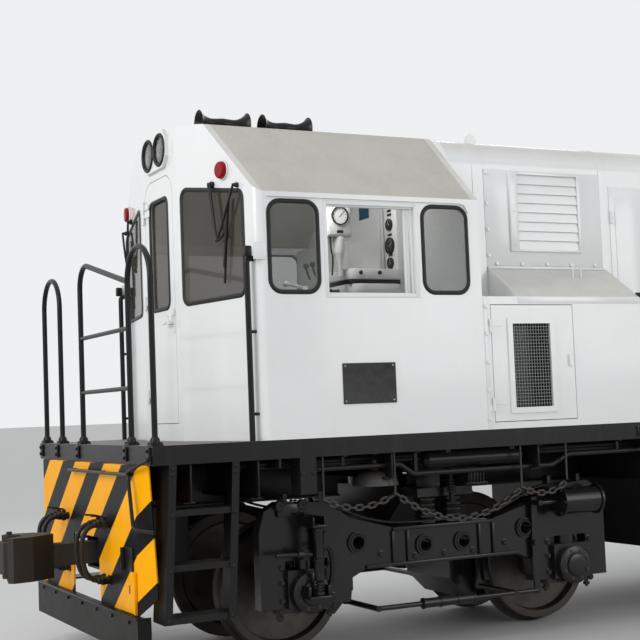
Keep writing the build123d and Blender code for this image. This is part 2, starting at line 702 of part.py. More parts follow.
grille_door_x = (2130, 2836)
grille_door_z = (1580, 2400)
side_hinge_pin = 6
side_hinge_barrel = 11
grille_hinge_x = grille_door_x[1] + 12
side_hinge_out = 13
grille_hinge_z = (1700, 2250)
lid_rise = cabinet_slope_z - cabinet_side_z
with BuildPart() as equipment_space:
    extrude(cross_plane(hood_split_x + hood_skin) * cabinet_section(hood_skin, lid_rise),
            amount=lid_front_x - hood_split_x - 2 * hood_skin)
    extrude(cross_plane(hood_split_x + hood_skin) * cabinet_section(hood_skin, 0),
            amount=cab_rear_x - hood_split_x - 2 * hood_skin)
with BuildPart() as equipment_hood:
    # The lids stop short of the cab and leave a pocket with a level floor
    extrude(cross_plane(hood_split_x) * cabinet_section(0, lid_rise), amount=lid_front_x - hood_split_x)
    extrude(cross_plane(hood_split_x) * cabinet_section(0, 0), amount=cab_rear_x - hood_split_x)
    add(equipment_space.part, mode=Mode.SUBTRACT)
    # Through way into the engine hood
    block((hood_split_x - 1, hood_split_x + hood_skin + 1), (-hood_half + 60, hood_half - 60),
          (deck_z + 60, hood_top_z - 240), mode=Mode.SUBTRACT)
    # Door openings in the cabinet sides
    with BuildSketch(side_plane(half_width + 1)) as openings:
        with Locations((sum(grille_door_x) / 2, sum(grille_door_z) / 2)):
            Rectangle(grille_door_x[1] - grille_door_x[0] + 2 * moving_gap,
                      grille_door_z[1] - grille_door_z[0] + 2 * moving_gap)
    extrude(amount=2 * half_width + 2, mode=Mode.SUBTRACT)
    for side in (-1, 1):
        y = side * (half_width + side_hinge_out)
        for z in grille_hinge_z:
            block((grille_hinge_x - 4, grille_hinge_x + 42), (side * (half_width - 1), side * (half_width + 6)),
                  (z - 45, z - 0.5))
            rod((grille_hinge_x, y, z - 45), (grille_hinge_x, y, z - 0.5), side_hinge_barrel)
            rod((grille_hinge_x, y, z - 10), (grille_hinge_x, y, z + 50), side_hinge_pin)
            block((grille_hinge_x - 4, grille_hinge_x + 4), (side * (half_width - 1), y), (z - 45, z - 0.5))
save(equipment_hood, "equipment_hood")

mesh_x = (2340, 2664)
mesh_z = (1674, 2268)
mesh_frame = 40
door_sheet = 14
for label, side in (("left", 1), ("right", -1)):
    with BuildPart() as grille_door:
        block(grille_door_x, (side * (half_width - door_sheet), side * half_width), grille_door_z)
        block((mesh_x[0] - mesh_frame, mesh_x[1] + mesh_frame), (side * half_width, side * (half_width + 12)),
              (mesh_z[0] - mesh_frame, mesh_z[1] + mesh_frame))
        block(mesh_x, (side * (half_width - door_sheet - 1), side * (half_width + 13)), mesh_z,
              mode=Mode.SUBTRACT)
        y = side * (half_width + side_hinge_out)
        for z in grille_hinge_z:
            block((grille_door_x[1] - 90, grille_door_x[1] - 1), (side * half_width, side * (half_width + 6)),
                  (z, z + 46))
            block((grille_door_x[1] - 12, grille_hinge_x), (side * (half_width + 2), side * (half_width + 8)),
                  (z, z + 46))
            rod((grille_hinge_x, y, z), (grille_hinge_x, y, z + 46), side_hinge_barrel)
            rod((grille_hinge_x, y, z - 1), (grille_hinge_x, y, z + 52), side_hinge_pin + pin_clearance,
                mode=Mode.SUBTRACT)
        # Turn latch on the rear edge
        block((grille_door_x[0] + 20, grille_door_x[0] + 50), (side * half_width, side * (half_width + 18)),
              (1960, 2040))
    save(grille_door, "grille_door_" + label)

    with BuildPart() as mesh:
        # Upright bars behind, level bars in front of them, inside the door's frame
        for i in range(13):
            x = mesh_x[0] + (i + 1) * (mesh_x[1] - mesh_x[0]) / 14
            block((x - 2, x + 2), (side * (half_width - 6), side * (half_width - 2)), mesh_z)
        for i in range(24):
            z = mesh_z[0] + (i + 1) * (mesh_z[1] - mesh_z[0]) / 25
            block(mesh_x, (side * (half_width - 2), side * (half_width + 2)), (z - 2, z + 2))
    save(mesh, "grille_mesh_" + label)

with BuildPart() as cabinet_gear:
    for side in (-1, 1):
        block((2180, 2790), (side * 1010, side * 1240), (deck_z, 2350))
save(cabinet_gear, "cabinet_gear")

engine_door_x = (0, 400)
engine_door_z = (1700, 3200)
engine_hinge_z = (1850, 3000)
exhaust_x = -1000
exhaust_size = (420, 220)
exhaust_wall = 10
exhaust_flange = 50
exhaust_height = 110
engine_hinge_x = engine_door_x[1] + 12
with BuildPart() as engine_hood:
    extrude(cross_plane(radiator_front_x) * hood_section(0), amount=hood_split_x - radiator_front_x)
    extrude(cross_plane(radiator_front_x - 1) * hood_section(hood_skin),
            amount=hood_split_x - radiator_front_x + 2, mode=Mode.SUBTRACT)
    with BuildSketch(side_plane(hood_half + 1)) as openings:
        with Locations((sum(engine_door_x) / 2, sum(engine_door_z) / 2)):
            Rectangle(engine_door_x[1] - engine_door_x[0] + 2 * moving_gap,
                      engine_door_z[1] - engine_door_z[0] + 2 * moving_gap)
    extrude(amount=2 * hood_half + 2, mode=Mode.SUBTRACT)
    for side in (-1, 1):
        y = side * (hood_half + side_hinge_out)
        x = engine_hinge_x
        for z in engine_hinge_z:
            block((x, x + 42), (side * (hood_half - 1), side * (hood_half + 6)), (z - 45, z - 0.5))
            block((x - 4, x + 4), (side * (hood_half - 1), y), (z - 45, z - 0.5))
            rod((x, y, z - 45), (x, y, z - 0.5), side_hinge_barrel)
            rod((x, y, z - 10), (x, y, z + 50), side_hinge_pin)
    # Exhaust stack on its base
    with BuildSketch(level(hood_top_z)) as base:
        with Locations((exhaust_x, 0)):
            RectangleRounded(exhaust_size[0] + 2 * exhaust_flange, exhaust_size[1] + 2 * exhaust_flange, 60)
    extrude(amount=20)
    with BuildSketch(level(hood_top_z)) as stack:
        with Locations((exhaust_x, 0)):
            RectangleRounded(*exhaust_size, 50)
            RectangleRounded(exhaust_size[0] - 2 * exhaust_wall, exhaust_size[1] - 2 * exhaust_wall,
                             50 - exhaust_wall, mode=Mode.SUBTRACT)
    extrude(amount=exhaust_height)
save(engine_hood, "engine_hood")

for label, side in (("left", 1), ("right", -1)):
    with BuildPart() as engine_door:
        near = engine_door_x[1]
        block(engine_door_x, (side * (hood_half - 14), side * hood_half), engine_door_z)
        y = side * (hood_half + side_hinge_out)
        for z in engine_hinge_z:
            block((near - 90, near - 1), (side * hood_half, side * (hood_half + 6)), (z, z + 46))
            block((near - 12, engine_hinge_x), (side * (hood_half + 2), side * (hood_half + 8)), (z, z + 46))
            rod((engine_hinge_x, y, z), (engine_hinge_x, y, z + 46), side_hinge_barrel)
            rod((engine_hinge_x, y, z - 1), (engine_hinge_x, y, z + 52), side_hinge_pin + pin_clearance,
                mode=Mode.SUBTRACT)
        block((engine_door_x[0] + 30, engine_door_x[0] + 60), (side * hood_half, side * (hood_half + 20)),
              (2380, 2500))
    save(engine_door, "engine_door_" + label)

fan_x = -3700
fan_ring_radius = 560
fan_radius = fan_ring_radius - 25
fan_shaft_radius = 30
fan_beam_z = 3300
hood_corner = 110
with BuildPart() as radiator_space:
    extrude(cross_plane(hood_rear_x + hood_skin) * hood_section(hood_skin),
            amount=radiator_front_x - hood_rear_x)
    fillet(radiator_space.edges().filter_by(Axis.Z).group_by(Axis.X)[0], hood_corner - hood_skin)
with BuildPart() as radiator_hood:
    extrude(cross_plane(hood_rear_x) * hood_section(0), amount=radiator_front_x - hood_rear_x)
    fillet(radiator_hood.edges().filter_by(Axis.Z).group_by(Axis.X)[0], hood_corner)
    add(radiator_space.part, mode=Mode.SUBTRACT)
    with Locations((fan_x, 0, hood_top_z)):
        Cylinder(fan_ring_radius, 80, mode=Mode.SUBTRACT)
    # Shroud ring and the beam that carries the fan's shaft
    with Locations((fan_x, 0, hood_top_z - 110)):
        Cylinder(fan_ring_radius + 10, 200)
        Cylinder(fan_ring_radius, 202, mode=Mode.SUBTRACT)
    block((fan_x - 60, fan_x + 60), (-hood_half + hood_skin, hood_half - hood_skin),
          (fan_beam_z - 90, fan_beam_z))
    rod((fan_x, 0, fan_beam_z - 10), (fan_x, 0, fan_beam_z + 260), fan_shaft_radius)
save(radiator_hood, "radiator_hood")

fan_hub_radius = 130
fan_blades = 6
with BuildPart() as radiator_fan:
    rod((fan_x, 0, fan_beam_z + 100), (fan_x, 0, fan_beam_z + 240), fan_hub_radius)
    with BuildSketch(Plane(origin=(fan_x, 0, fan_beam_z + 170), z_dir=(1, 0, 0))) as blade:
        Rectangle(200, 10, rotation=28)
    fan_blade = extrude(amount=fan_radius, mode=Mode.PRIVATE)
    for i in range(fan_blades):
        add(fan_blade.rotate(Axis((fan_x, 0, 0), (0, 0, 1)), 360 / fan_blades * i))
    rod((fan_x, 0, fan_beam_z + 90), (fan_x, 0, fan_beam_z + 262), fan_shaft_radius + pin_clearance,
        mode=Mode.SUBTRACT)
save(radiator_fan, "radiator_fan")

with BuildPart() as fan_guard:
    with BuildSketch(level(hood_top_z)) as rings:
        for radius in (fan_ring_radius + 40, 400, 250, 100):
            with Locations((fan_x, 0)):
                Circle(radius)
                Circle(radius - 14, mode=Mode.SUBTRACT)
        for turn in (0, 45, 90, 135):
            with Locations((fan_x, 0)):
                Rectangle(2 * fan_ring_radius + 60, 14, rotation=turn)
    extrude(amount=14)
save(fan_guard, "fan_guard")

# Louvre panels: raised frames with overlapping slats
louvre_panels = (  # rear, front, bottom, top, slats
    (1758, 2305, 2855, 3421, 8),
    (-4450, -3000, 1900, 3300, 16),
)
louvre_bar = 28
with BuildPart() as louvres:
    for side in (-1, 1):
        for rear, front, low, high, count in louvre_panels:
            with BuildSketch(side_plane(side * hood_half)) as frame:
                with Locations(((rear + front) / 2, (low + high) / 2)):
                    Rectangle(front - rear, high - low)
                    Rectangle(front - rear - 2 * louvre_bar, high - low - 2 * louvre_bar, mode=Mode.SUBTRACT)
            extrude(amount=-side * 26)
            pitch = (high - low - 2 * louvre_bar) / count
            for i in range(count):
                z = low + louvre_bar + i * pitch
                with BuildSketch(cross_plane(rear + louvre_bar)) as slat:
                    with BuildLine():
                        Polyline((side * hood_half, z), (side * (hood_half + 20), z),
                                 (side * (hood_half + 20), z + 4), (side * hood_half, z + pitch - 4), close=True)
                    make_face()
                extrude(amount=front - rear - 2 * louvre_bar)
save(louvres, "louvres")

with BuildPart() as engine:
    with BuildSketch(cross_plane(-2100)) as profile:
        with BuildLine():
            Polyline((-420, deck_z + 40), (420, deck_z + 40), (450, 2150), (640, 2950), (420, 3140), (160, 2600),
                     (-160, 2600), (-420, 3140), (-640, 2950), (-450, 2150), close=True)
        make_face()
    extrude(amount=2300)
    rod((180, 0, 2150), (1180, 0, 2150), 520)
    block((220, 1140), (-420, 420), (deck_z, 2150))
    block((-2100, 200), (-380, 380), (deck_z, deck_z + 60))
save(engine, "engine_and_generator")

# Below the sills
tank_half_x = 1150
tank_half_y = 1250
tank_z = (540, 1180)
tank_strap_x = (-800, 0, 800)
filler_x = 600
with BuildPart() as fuel_tank:
    with BuildSketch(cross_plane(-tank_half_x)) as profile:
        with Locations((0, sum(tank_z) / 2)):
            Rectangle(2 * tank_half_y, tank_z[1] - tank_z[0])
        fillet(profile.vertices().group_by(Axis.Y)[0], 260)
        fillet(profile.vertices().group_by(Axis.Y)[-1], 60)
    extrude(amount=2 * tank_half_x)
    for x in tank_strap_x:
        for side in (-1, 1):
            block((x - 40, x + 40), (side * 1290, side * 1340), (1000, sill_bottom_z))
            block((x - 40, x + 40), (side * 1200, side * 1340), (1000, 1040))
            block((x - 60, x + 60), (side * (beam_y - 40), side * (beam_y + 40)), (tank_z[1] - 5, beam_bottom_z))
    # Filler pipes
    for side in (-1, 1):
        rod((filler_x, side * (tank_half_y - 50), tank_z[1] - 50),
            (filler_x, side * (tank_half_y + 50), tank_z[1] + 10), 45)
save(fuel_tank, "fuel_tank")

reservoir_radius = 57
reservoir_x = (2520, 3350)
reservoir_y = 1200
reservoir_z = 1333
with BuildPart() as air_reservoirs:
    for end in (-1, 1):
        for side in (-1, 1):
            with BuildSketch(level(reservoir_z)) as half:
                with BuildLine():
                    Polyline((end * reservoir_x[0], side * reservoir_y),
                             (end * reservoir_x[0], side * (reservoir_y + 25)),
                             (end * (reservoir_x[0] + 30), side * (reservoir_y + reservoir_radius)),
                             (end * (reservoir_x[1] - 30), side * (reservoir_y + reservoir_radius)),
                             (end * reservoir_x[1], side * (reservoir_y + 25)),
                             (end * reservoir_x[1], side * reservoir_y), close=True)
                make_face()
            revolve(axis=Axis((0, side * reservoir_y, reservoir_z), (1, 0, 0)))
            for x in (reservoir_x[0] + 150, reservoir_x[1] - 150):
                block((end * (x - 20), end * (x + 20)),
                      (side * (reservoir_y - 10), side * (half_width - 60)), (sill_bottom_z - 22, sill_bottom_z))
save(air_reservoirs, "air_reservoirs")

bell_x = 3685
bell_y = 1130
bell_mouth_z = 1180
bell_radius = 160
with BuildPart() as bell:
    with BuildSketch(side_plane(bell_y)) as half:
        with BuildLine():
            Polyline((bell_x, 1366), (bell_x + 50, 1362), (bell_x + 92, 1335), (bell_x + 112, 1280),
                     (bell_x + 128, 1225), (bell_x + bell_radius, bell_mouth_z),
                     (bell_x + bell_radius - 16, bell_mouth_z), (bell_x + 108, 1222), (bell_x + 92, 1280),
                     (bell_x + 76, 1322), (bell_x + 40, 1344), (bell_x, 1346), close=True)
        make_face()
    revolve(axis=Axis((bell_x, bell_y, 0), (0, 0, 1)))
    rod((bell_x, bell_y, 1350), (bell_x, bell_y, sill_bottom_z + 2), 22)
    block((bell_x - 40, bell_x + 40), (bell_y - 30, half_width - 60), (sill_bottom_z - 12, sill_bottom_z))
    rod((bell_x, bell_y, 1240), (bell_x, bell_y, 1350), 9)
    with Locations((bell_x, bell_y, 1225)):
        Sphere(26)
save(bell, "bell")

# Brake pipes clipped below the sill
pipe_radius = 17
pipe_y = 1262
pipe_high_z = 1320
pipe_low_z = 1250
with BuildPart() as brake_pipes:
    for side in (-1, 1):
        pipe(((4230, side * pipe_y, pipe_high_z), (3560, side * pipe_y, pipe_high_z),
              (3460, side * pipe_y, pipe_low_z), (2300, side * pipe_y, pipe_low_z),
              (2150, side * pipe_y, pipe_high_z), (-2150, side * pipe_y, pipe_high_z),
              (-2300, side * pipe_y, pipe_low_z), (-3460, side * pipe_y, pipe_low_z),
              (-3560, side * pipe_y, pipe_high_z), (-4230, side * pipe_y, pipe_high_z)), 60, pipe_radius)
        for x, z in ((4000, pipe_high_z), (3440, pipe_low_z), (2420, pipe_low_z), (1700, pipe_high_z),
                     (-1700, pipe_high_z), (-2420, pipe_low_z), (-3440, pipe_low_z), (-4000, pipe_high_z)):
            block((x - 12, x + 12), (side * (pipe_y - 8), side * (pipe_y + 8)), (z, sill_bottom_z))
            block((x - 12, x + 12), (side * (pipe_y - 8), side * (half_width - 60)),
                  (sill_bottom_z - 12, sill_bottom_z))
save(brake_pipes, "brake_pipes")

# Safety chains: open links hung from eyes under the sill
link_length = 74
link_wire = 12
link_width = 44
chain_y = 1322
link_pitch = link_length - 2 * link_wire - 0.9
chain_spans = ((4180, 1120, 3640, 1130, 70), (3640, 1130, 2610, 1110, 190), (2610, 1110, 2215, 1130, 60))


def chain_points(x0, z0, x1, z1, sag):
    """Evenly spaced joints of one hanging span, one link apart."""
    fine = [(x0 + (x1 - x0) * t / 4000, z0 + (z1 - z0) * t / 4000 - 4 * sag * (t / 4000) * (1 - t / 4000))
            for t in range(4001)]
    joints = [fine[0]]
    for x, z in fine:
        if hypot(x - joints[-1][0], z - joints[-1][1]) >= link_pitch:
            joints.append((x, z))
    return joints


with BuildPart() as chain_link:
    with BuildSketch(Plane.XZ) as ring:
        Rectangle(link_length, link_width)
        chamfer(ring.vertices(), 15)
        hole = Rectangle(link_length - 2 * link_wire, link_width - 2 * link_wire, mode=Mode.PRIVATE)
        add(hole, mode=Mode.SUBTRACT)
    extrude(amount=link_wire / 2, both=True)

chain_links = []
for side in (-1, 1):
    for span in chain_spans:
        joints = chain_points(*span)
        for i in range(len(joints) - 1):
            (xa, za), (xb, zb) = joints[i], joints[i + 1]
            along = Vector(xb - xa, 0, zb - za)
            across = (0, 1, 0) if i % 2 else (-along.Z, 0, along.X)
            seat = Plane(origin=((xa + xb) / 2, side * chain_y, (za + zb) / 2), x_dir=along, z_dir=across)
            chain_links.append(chain_link.part.moved(seat.location * Location((0, 0, 0), (90, 0, 0))))
with BuildPart() as safety_chains:
    for side in (-1, 1):
        for x, z in ((4180, 1120), (3640, 1130), (2610, 1110), (2215, 1130)):
            rod((x, side * chain_y, z + 12), (x, side * chain_y, sill_bottom_z), 8)
    add(chain_links)
save(safety_chains, "safety_chains")

# Handrails
rail_radius = 19
hoop_x = 5320
hoop_outer_y = 1300
hoop_inner_y = 840
hoop_top_z = 2800
gate_y = -270
walk_rail_y = 1342
walk_rail_z = 2480
walk_post_x = (-4600, -3600, -2600, -1600, -600, 400, 1400)
with BuildPart() as handrails:
    for end in (-1, 1):
        for side in (-1, 1):
            pipe(((end * hoop_x, side * hoop_outer_y, deck_z), (end * hoop_x, side * hoop_outer_y, hoop_top_z),
                  (end * hoop_x, side * hoop_inner_y, hoop_top_z), (end * hoop_x, side * hoop_inner_y, deck_z)),
                 (hoop_outer_y - hoop_inner_y) / 2 - 5, rail_radius)
        # Rail across the platform end
        pipe(((end * hoop_x, end * gate_y, deck_z), (end * hoop_x, end * gate_y, 2850),
              (end * hoop_x, end * (hoop_inner_y - 4), 2600)), 160, rail_radius)
        rod((end * hoop_x, end * gate_y, 2293), (end * hoop_x, end * (hoop_inner_y - 4), 2293), 15)
        rod((end * hoop_x, end * gate_y, 1900), (end * hoop_x, end * (hoop_inner_y - 4), 1900), 15)
    # Grab rails at the cab corners
    for side in (-1, 1):
        pipe(((4672, side * 1325, deck_z), (4672, side * 1325, 2705), (4628, side * 1325, 2705)), 30, rail_radius)
        # Walkway rails beside the hood
        rod((hood_rear_x + 20, side * walk_rail_y, walk_rail_z), (hood_split_x, side * walk_rail_y, walk_rail_z),
            rail_radius)
        for x in walk_post_x:
            rod((x, side * walk_rail_y, deck_z), (x, side * walk_rail_y, walk_rail_z), 17)
save(handrails, "handrails")

# Brake hoses: each runs from an angle cock to a parking bracket on the end plate
hose_y = (430, 560)
cock_z = 1010
park_z = 640
cock_x = plate_x + plate_thickness
lever_z = 1350
lever_out = 40
lever_radius = 12
lever_route = (  # out from the lever's own line, across, height
    (0, -260, lever_z), (0, 1110, lever_z), (0, 1190, 1010), (-80, 1350, 1000),
)
with BuildPart() as end_fittings:
    for end in (-1, 1):
        for side in (-1, 1):
            for y in hose_y:
                rod((end * cock_x, side * y, cock_z), (end * (cock_x + 70), side * y, cock_z), 26)
                block((end * cock_x, end * (cock_x + 12)), (side * (y - 25), side * (y + 25)),
                      (park_z - 30, park_z + 30))
                rod((end * (cock_x + 12), side * y, park_z), (end * (cock_x + 52), side * y, park_z), 26)
    # Uncoupling lever in its three brackets, with a cranked handle past the plate's wing
    for end in (-1, 1):
        x = cock_x + lever_out
        pipe([(end * (x + out), end * y, z) for out, y, z in lever_route], 50, lever_radius)
        for y in (-200, 500, 1040):
            block((end * cock_x, end * x), (end * (y - 8), end * (y + 8)), (lever_z - 12, lever_z + 12))
save(end_fittings, "end_fittings")

with BuildPart() as brake_hoses:
    for end in (-1, 1):
        for side in (-1, 1):
            for y in hose_y:
                pipe(((end * (cock_x + 70), side * y, cock_z), (end * (cock_x + 170), side * y, cock_z),
                      (end * (cock_x + 200), side * y, 820), (end * (cock_x + 150), side * y, park_z),
                      (end * (cock_x + 52), side * y, park_z)), 55, 17)
save(brake_hoses, "brake_hoses")

# Couplers, modelled for the cab end and turned about for the other
shank_half = 72
head_z = (coupler_z - 150, coupler_z + 150)
slot_z = (coupler_z - 110, coupler_z + 110)
knuckle_pin_x = coupler_face_x - 80
knuckle_pin_y = -120
knuckle_pin_radius = 20
with BuildPart() as coupler:
    block((coupler_pin_x - 90, coupler_face_x - 320), (-shank_half, shank_half),
          (coupler_z - 75, coupler_z + 75))
    rod((coupler_pin_x, 0, coupler_z - 80), (coupler_pin_x, 0, coupler_z + 80), 30 + pin_clearance,
        mode=Mode.SUBTRACT)
    with BuildSketch(level(head_z[0])) as head:
        with BuildLine():
            Polyline((coupler_face_x - 340, -shank_half), (coupler_face_x - 250, -150),
                     (coupler_face_x - 120, -185), (coupler_face_x - 60, -180), (coupler_face_x - 30, -130),
                     (coupler_face_x - 60, -70), (coupler_face_x - 130, -40), (coupler_face_x - 130, 60),
                     (coupler_face_x - 70, 120), (coupler_face_x, 170), (coupler_face_x - 30, 215),
                     (coupler_face_x - 170, 190), (coupler_face_x - 270, 120),
                     (coupler_face_x - 340, shank_half), close=True)
        make_face()
    extrude(amount=head_z[1] - head_z[0])
    # Slot for the knuckle between the two lugs
    with BuildSketch(level(slot_z[0])) as slot:
        with BuildLine():
            Polyline((coupler_face_x - 150, -240), (coupler_face_x - 150, -50), (coupler_face_x - 125, 50),
                     (coupler_face_x + 20, 50), (coupler_face_x + 20, -240), close=True)
        make_face()
    extrude(amount=slot_z[1] - slot_z[0], mode=Mode.SUBTRACT)
    rod((knuckle_pin_x, knuckle_pin_y, head_z[0] - 20), (knuckle_pin_x, knuckle_pin_y, head_z[1] + 20),
        knuckle_pin_radius)

with BuildPart() as knuckle:
    with BuildSketch(level(slot_z[0] + seat_gap)) as nose:
        with BuildLine():
            Polyline((coupler_face_x - 138, -105), (coupler_face_x - 115, -160), (coupler_face_x - 60, -178),
                     (coupler_face_x - 10, -140), (coupler_face_x, -60), (coupler_face_x - 8, 10),
                     (coupler_face_x - 45, 30), (coupler_face_x - 62, -10), (coupler_face_x - 60, -60),
                     (coupler_face_x - 100, -85), close=True)
        make_face()
    extrude(amount=slot_z[1] - slot_z[0] - 2 * seat_gap)
    rod((knuckle_pin_x, knuckle_pin_y, slot_z[0]), (knuckle_pin_x, knuckle_pin_y, slot_z[1]),
        knuckle_pin_radius + pin_clearance, mode=Mode.SUBTRACT)


def save_turned(builder, name):
    """Write a piece modelled for the cab end, and the same piece turned about for the other end."""
    for end, turn in (("front", 0), ("rear", 180)):
        piece = builder.part.moved(Location((0, 0, 0), (0, 0, turn)))
        piece.label = name + "_" + end
        export_step(piece, "parts/" + name + "_" + end + ".step")


save_turned(coupler, "coupler")
save_turned(knuckle, "knuckle")

# Bogies, modelled under the cab end and turned about for the other
axle_offset = wheelbase / 2
side_inner_y = 850
side_outer_y = 950
pedestal_gap = 320
beam_top = 868
frame_profile = (  # half of the side frame outline, from the middle outwards
    (0, beam_top), (420, beam_top), (760, 960), (900, 1075), (1290, 1100), (1400, 1040), (1440, 900),
    (1440, 386), (axle_offset + pedestal_gap / 2, 386), (axle_offset + pedestal_gap / 2, 700),
    (axle_offset - pedestal_gap / 2, 700), (axle_offset - pedestal_gap / 2, 386), (765, 386), (745, 548),
    (640, 597), (0, 597),
)
boss_places = ((-700, 783), (-160, 728), (160, 728), (700, 783))
boss_radius = 75
boss_hole_radius = 42
with BuildPart() as bogie_sides:
    for side in (-1, 1):
        with BuildSketch(side_plane(side * side_outer_y)) as profile:
            with BuildLine():
                Polyline([(bogie_centre_x + x, z) for x, z in frame_profile]
                         + [(bogie_centre_x - x, z) for x, z in reversed(frame_profile[1:-1])], close=True)
            make_face()
        extrude(amount=side * (side_outer_y - side_inner_y))
        with BuildSketch(side_plane(side * side_outer_y)) as bosses:
            with Locations([(bogie_centre_x + x, z) for x, z in boss_places]):
                Circle(boss_radius)
        extrude(amount=-side * 18)
        with BuildSketch(side_plane(side * (side_outer_y + 20))) as holes:
            with Locations([(bogie_centre_x + x, z) for x, z in boss_places]):
                Circle(boss_hole_radius)
        extrude(amount=side * (side_outer_y - side_inner_y + 22), mode=Mode.SUBTRACT)
        # Binder bars across the pedestal feet
        for way in (-1, 1):
            x = bogie_centre_x + way * axle_offset
            block((x - pedestal_gap / 2 - 60, x + pedestal_gap / 2 + 60),
                  (side * (side_inner_y + 10), side * (side_outer_y - 10)), (352, 386))
            # Lifting lugs on the frame ends
            block((x + way * 120, x + way * 150), (side * (side_inner_y + 20), side * (side_outer_y - 20)),
                  (1060, 1150))
            block((x - way * 150, x - way * 120), (side * (side_inner_y + 20), side * (side_outer_y - 20)),
                  (1060, 1150))
save_turned(bogie_sides, "bogie_sides")

transom_x = 315
transom_z = (620, 850)
bolster_top_z = 1125
spring_x = (-110, 110)
with BuildPart() as bogie_bolster:
    for way in (-1, 1):
        block((bogie_centre_x + way * (transom_x - 45), bogie_centre_x + way * (transom_x + 45)),
              (-side_inner_y, side_inner_y), transom_z)
    # Bolster beam, deeper at the middle, with its centre bowl and side bearings
    with BuildSketch(cross_plane(bogie_centre_x - 230)) as beam:
        with BuildLine():
            Polyline((-1000, bolster_top_z), (-1000, bolster_top_z - 60), (-800, bolster_top_z - 60),
                     (-560, bolster_top_z - 260), (560, bolster_top_z - 260), (800, bolster_top_z - 60),
                     (1000, bolster_top_z - 60), (1000, bolster_top_z), close=True)
        make_face()
    extrude(amount=460)
    block((bogie_centre_x - 270, bogie_centre_x + 270), (-400, 400), (transom_z[0] + 20, bolster_top_z - 255))
    with Locations((bogie_centre_x, 0, bolster_top_z - 2)):
        Cylinder(pivot_radius + 30, pivot_seat_z + 22 - bolster_top_z, align=(Align.CENTER, Align.CENTER, Align.MIN))
    with Locations((bogie_centre_x, 0, pivot_seat_z - seat_gap)):
        Cylinder(pivot_radius + moving_gap + 1, 60, align=(Align.CENTER, Align.CENTER, Align.MIN),
                 mode=Mode.SUBTRACT)
    for side in (-1, 1):
        block((bogie_centre_x - 100, bogie_centre_x + 100), (side * (bearer_y - 70), side * (bearer_y + 70)),
              (bolster_top_z, bearer_z))
        # Coil spring nests on the side frames: seats and stacked coils
        for x in spring_x:
            y = side * (side_inner_y + side_outer_y) / 2
            with BuildSketch(side_plane(y)) as coil:
                with BuildLine():
                    height = bolster_top_z - 60 - beam_top
                    turns = 5
                    points = [(bogie_centre_x + x, beam_top)]
                    for i in range(turns):
                        z = beam_top + height * i / turns
                        step = height / turns
                        points += [(bogie_centre_x + x + 62, z), (bogie_centre_x + x + 78, z + 0.25 * step),
                                   (bogie_centre_x + x + 78, z + 0.65 * step),
                                   (bogie_centre_x + x + 62, z + 0.9 * step)]
                    points += [(bogie_centre_x + x + 62, beam_top + height), (bogie_centre_x + x, beam_top + height)]
                    Polyline(points, close=True)
                make_face()
            revolve(axis=Axis((bogie_centre_x + x, y, 0), (0, 0, 1)))
save_turned(bogie_bolster, "bogie_bolster")

damper_x = 1018
box_half = pedestal_gap / 2
box_z = (386, 640)
journal_end_y = 905
with BuildPart() as axleboxes:
    for way in (-1, 1):
        for side in (-1, 1):
            x = bogie_centre_x + way * axle_offset
            block((x - box_half, x + box_half), (side * 810, side * (side_outer_y + 40)), box_z)
            rod((x, side * (side_outer_y + 40), axle_z), (x, side * (side_outer_y + 75), axle_z), 140)
            rod((x, side * (side_outer_y + 75), axle_z), (x, side * (side_outer_y + 85), axle_z), 70)
            rod((x, side * 800, axle_z), (x, side * (journal_end_y + 5), axle_z),
                journal_radius + journal_clearance, mode=Mode.SUBTRACT)
            # Rubber-and-coil spring between the box and the frame
            rod((x, side * 900, box_z[1]), (x, side * 900, 700), 75)
    # Dampers beside the leading axleboxes
    for side in (-1, 1):
        x = bogie_centre_x + damper_x
        y = side * (side_outer_y + 45)
        block((x - 40, x + 40), (side * side_outer_y, side * (side_outer_y + 80)), (905, 925))
        rod((x, y, 760), (x, y, 905), 38)
        rod((x, y, 640), (x, y, 760), 28)
        block((x - 36, x + 36), (side * (side_outer_y + 10), side * (side_outer_y + 80)), (640, 656))
save_turned(axleboxes, "axleboxes")

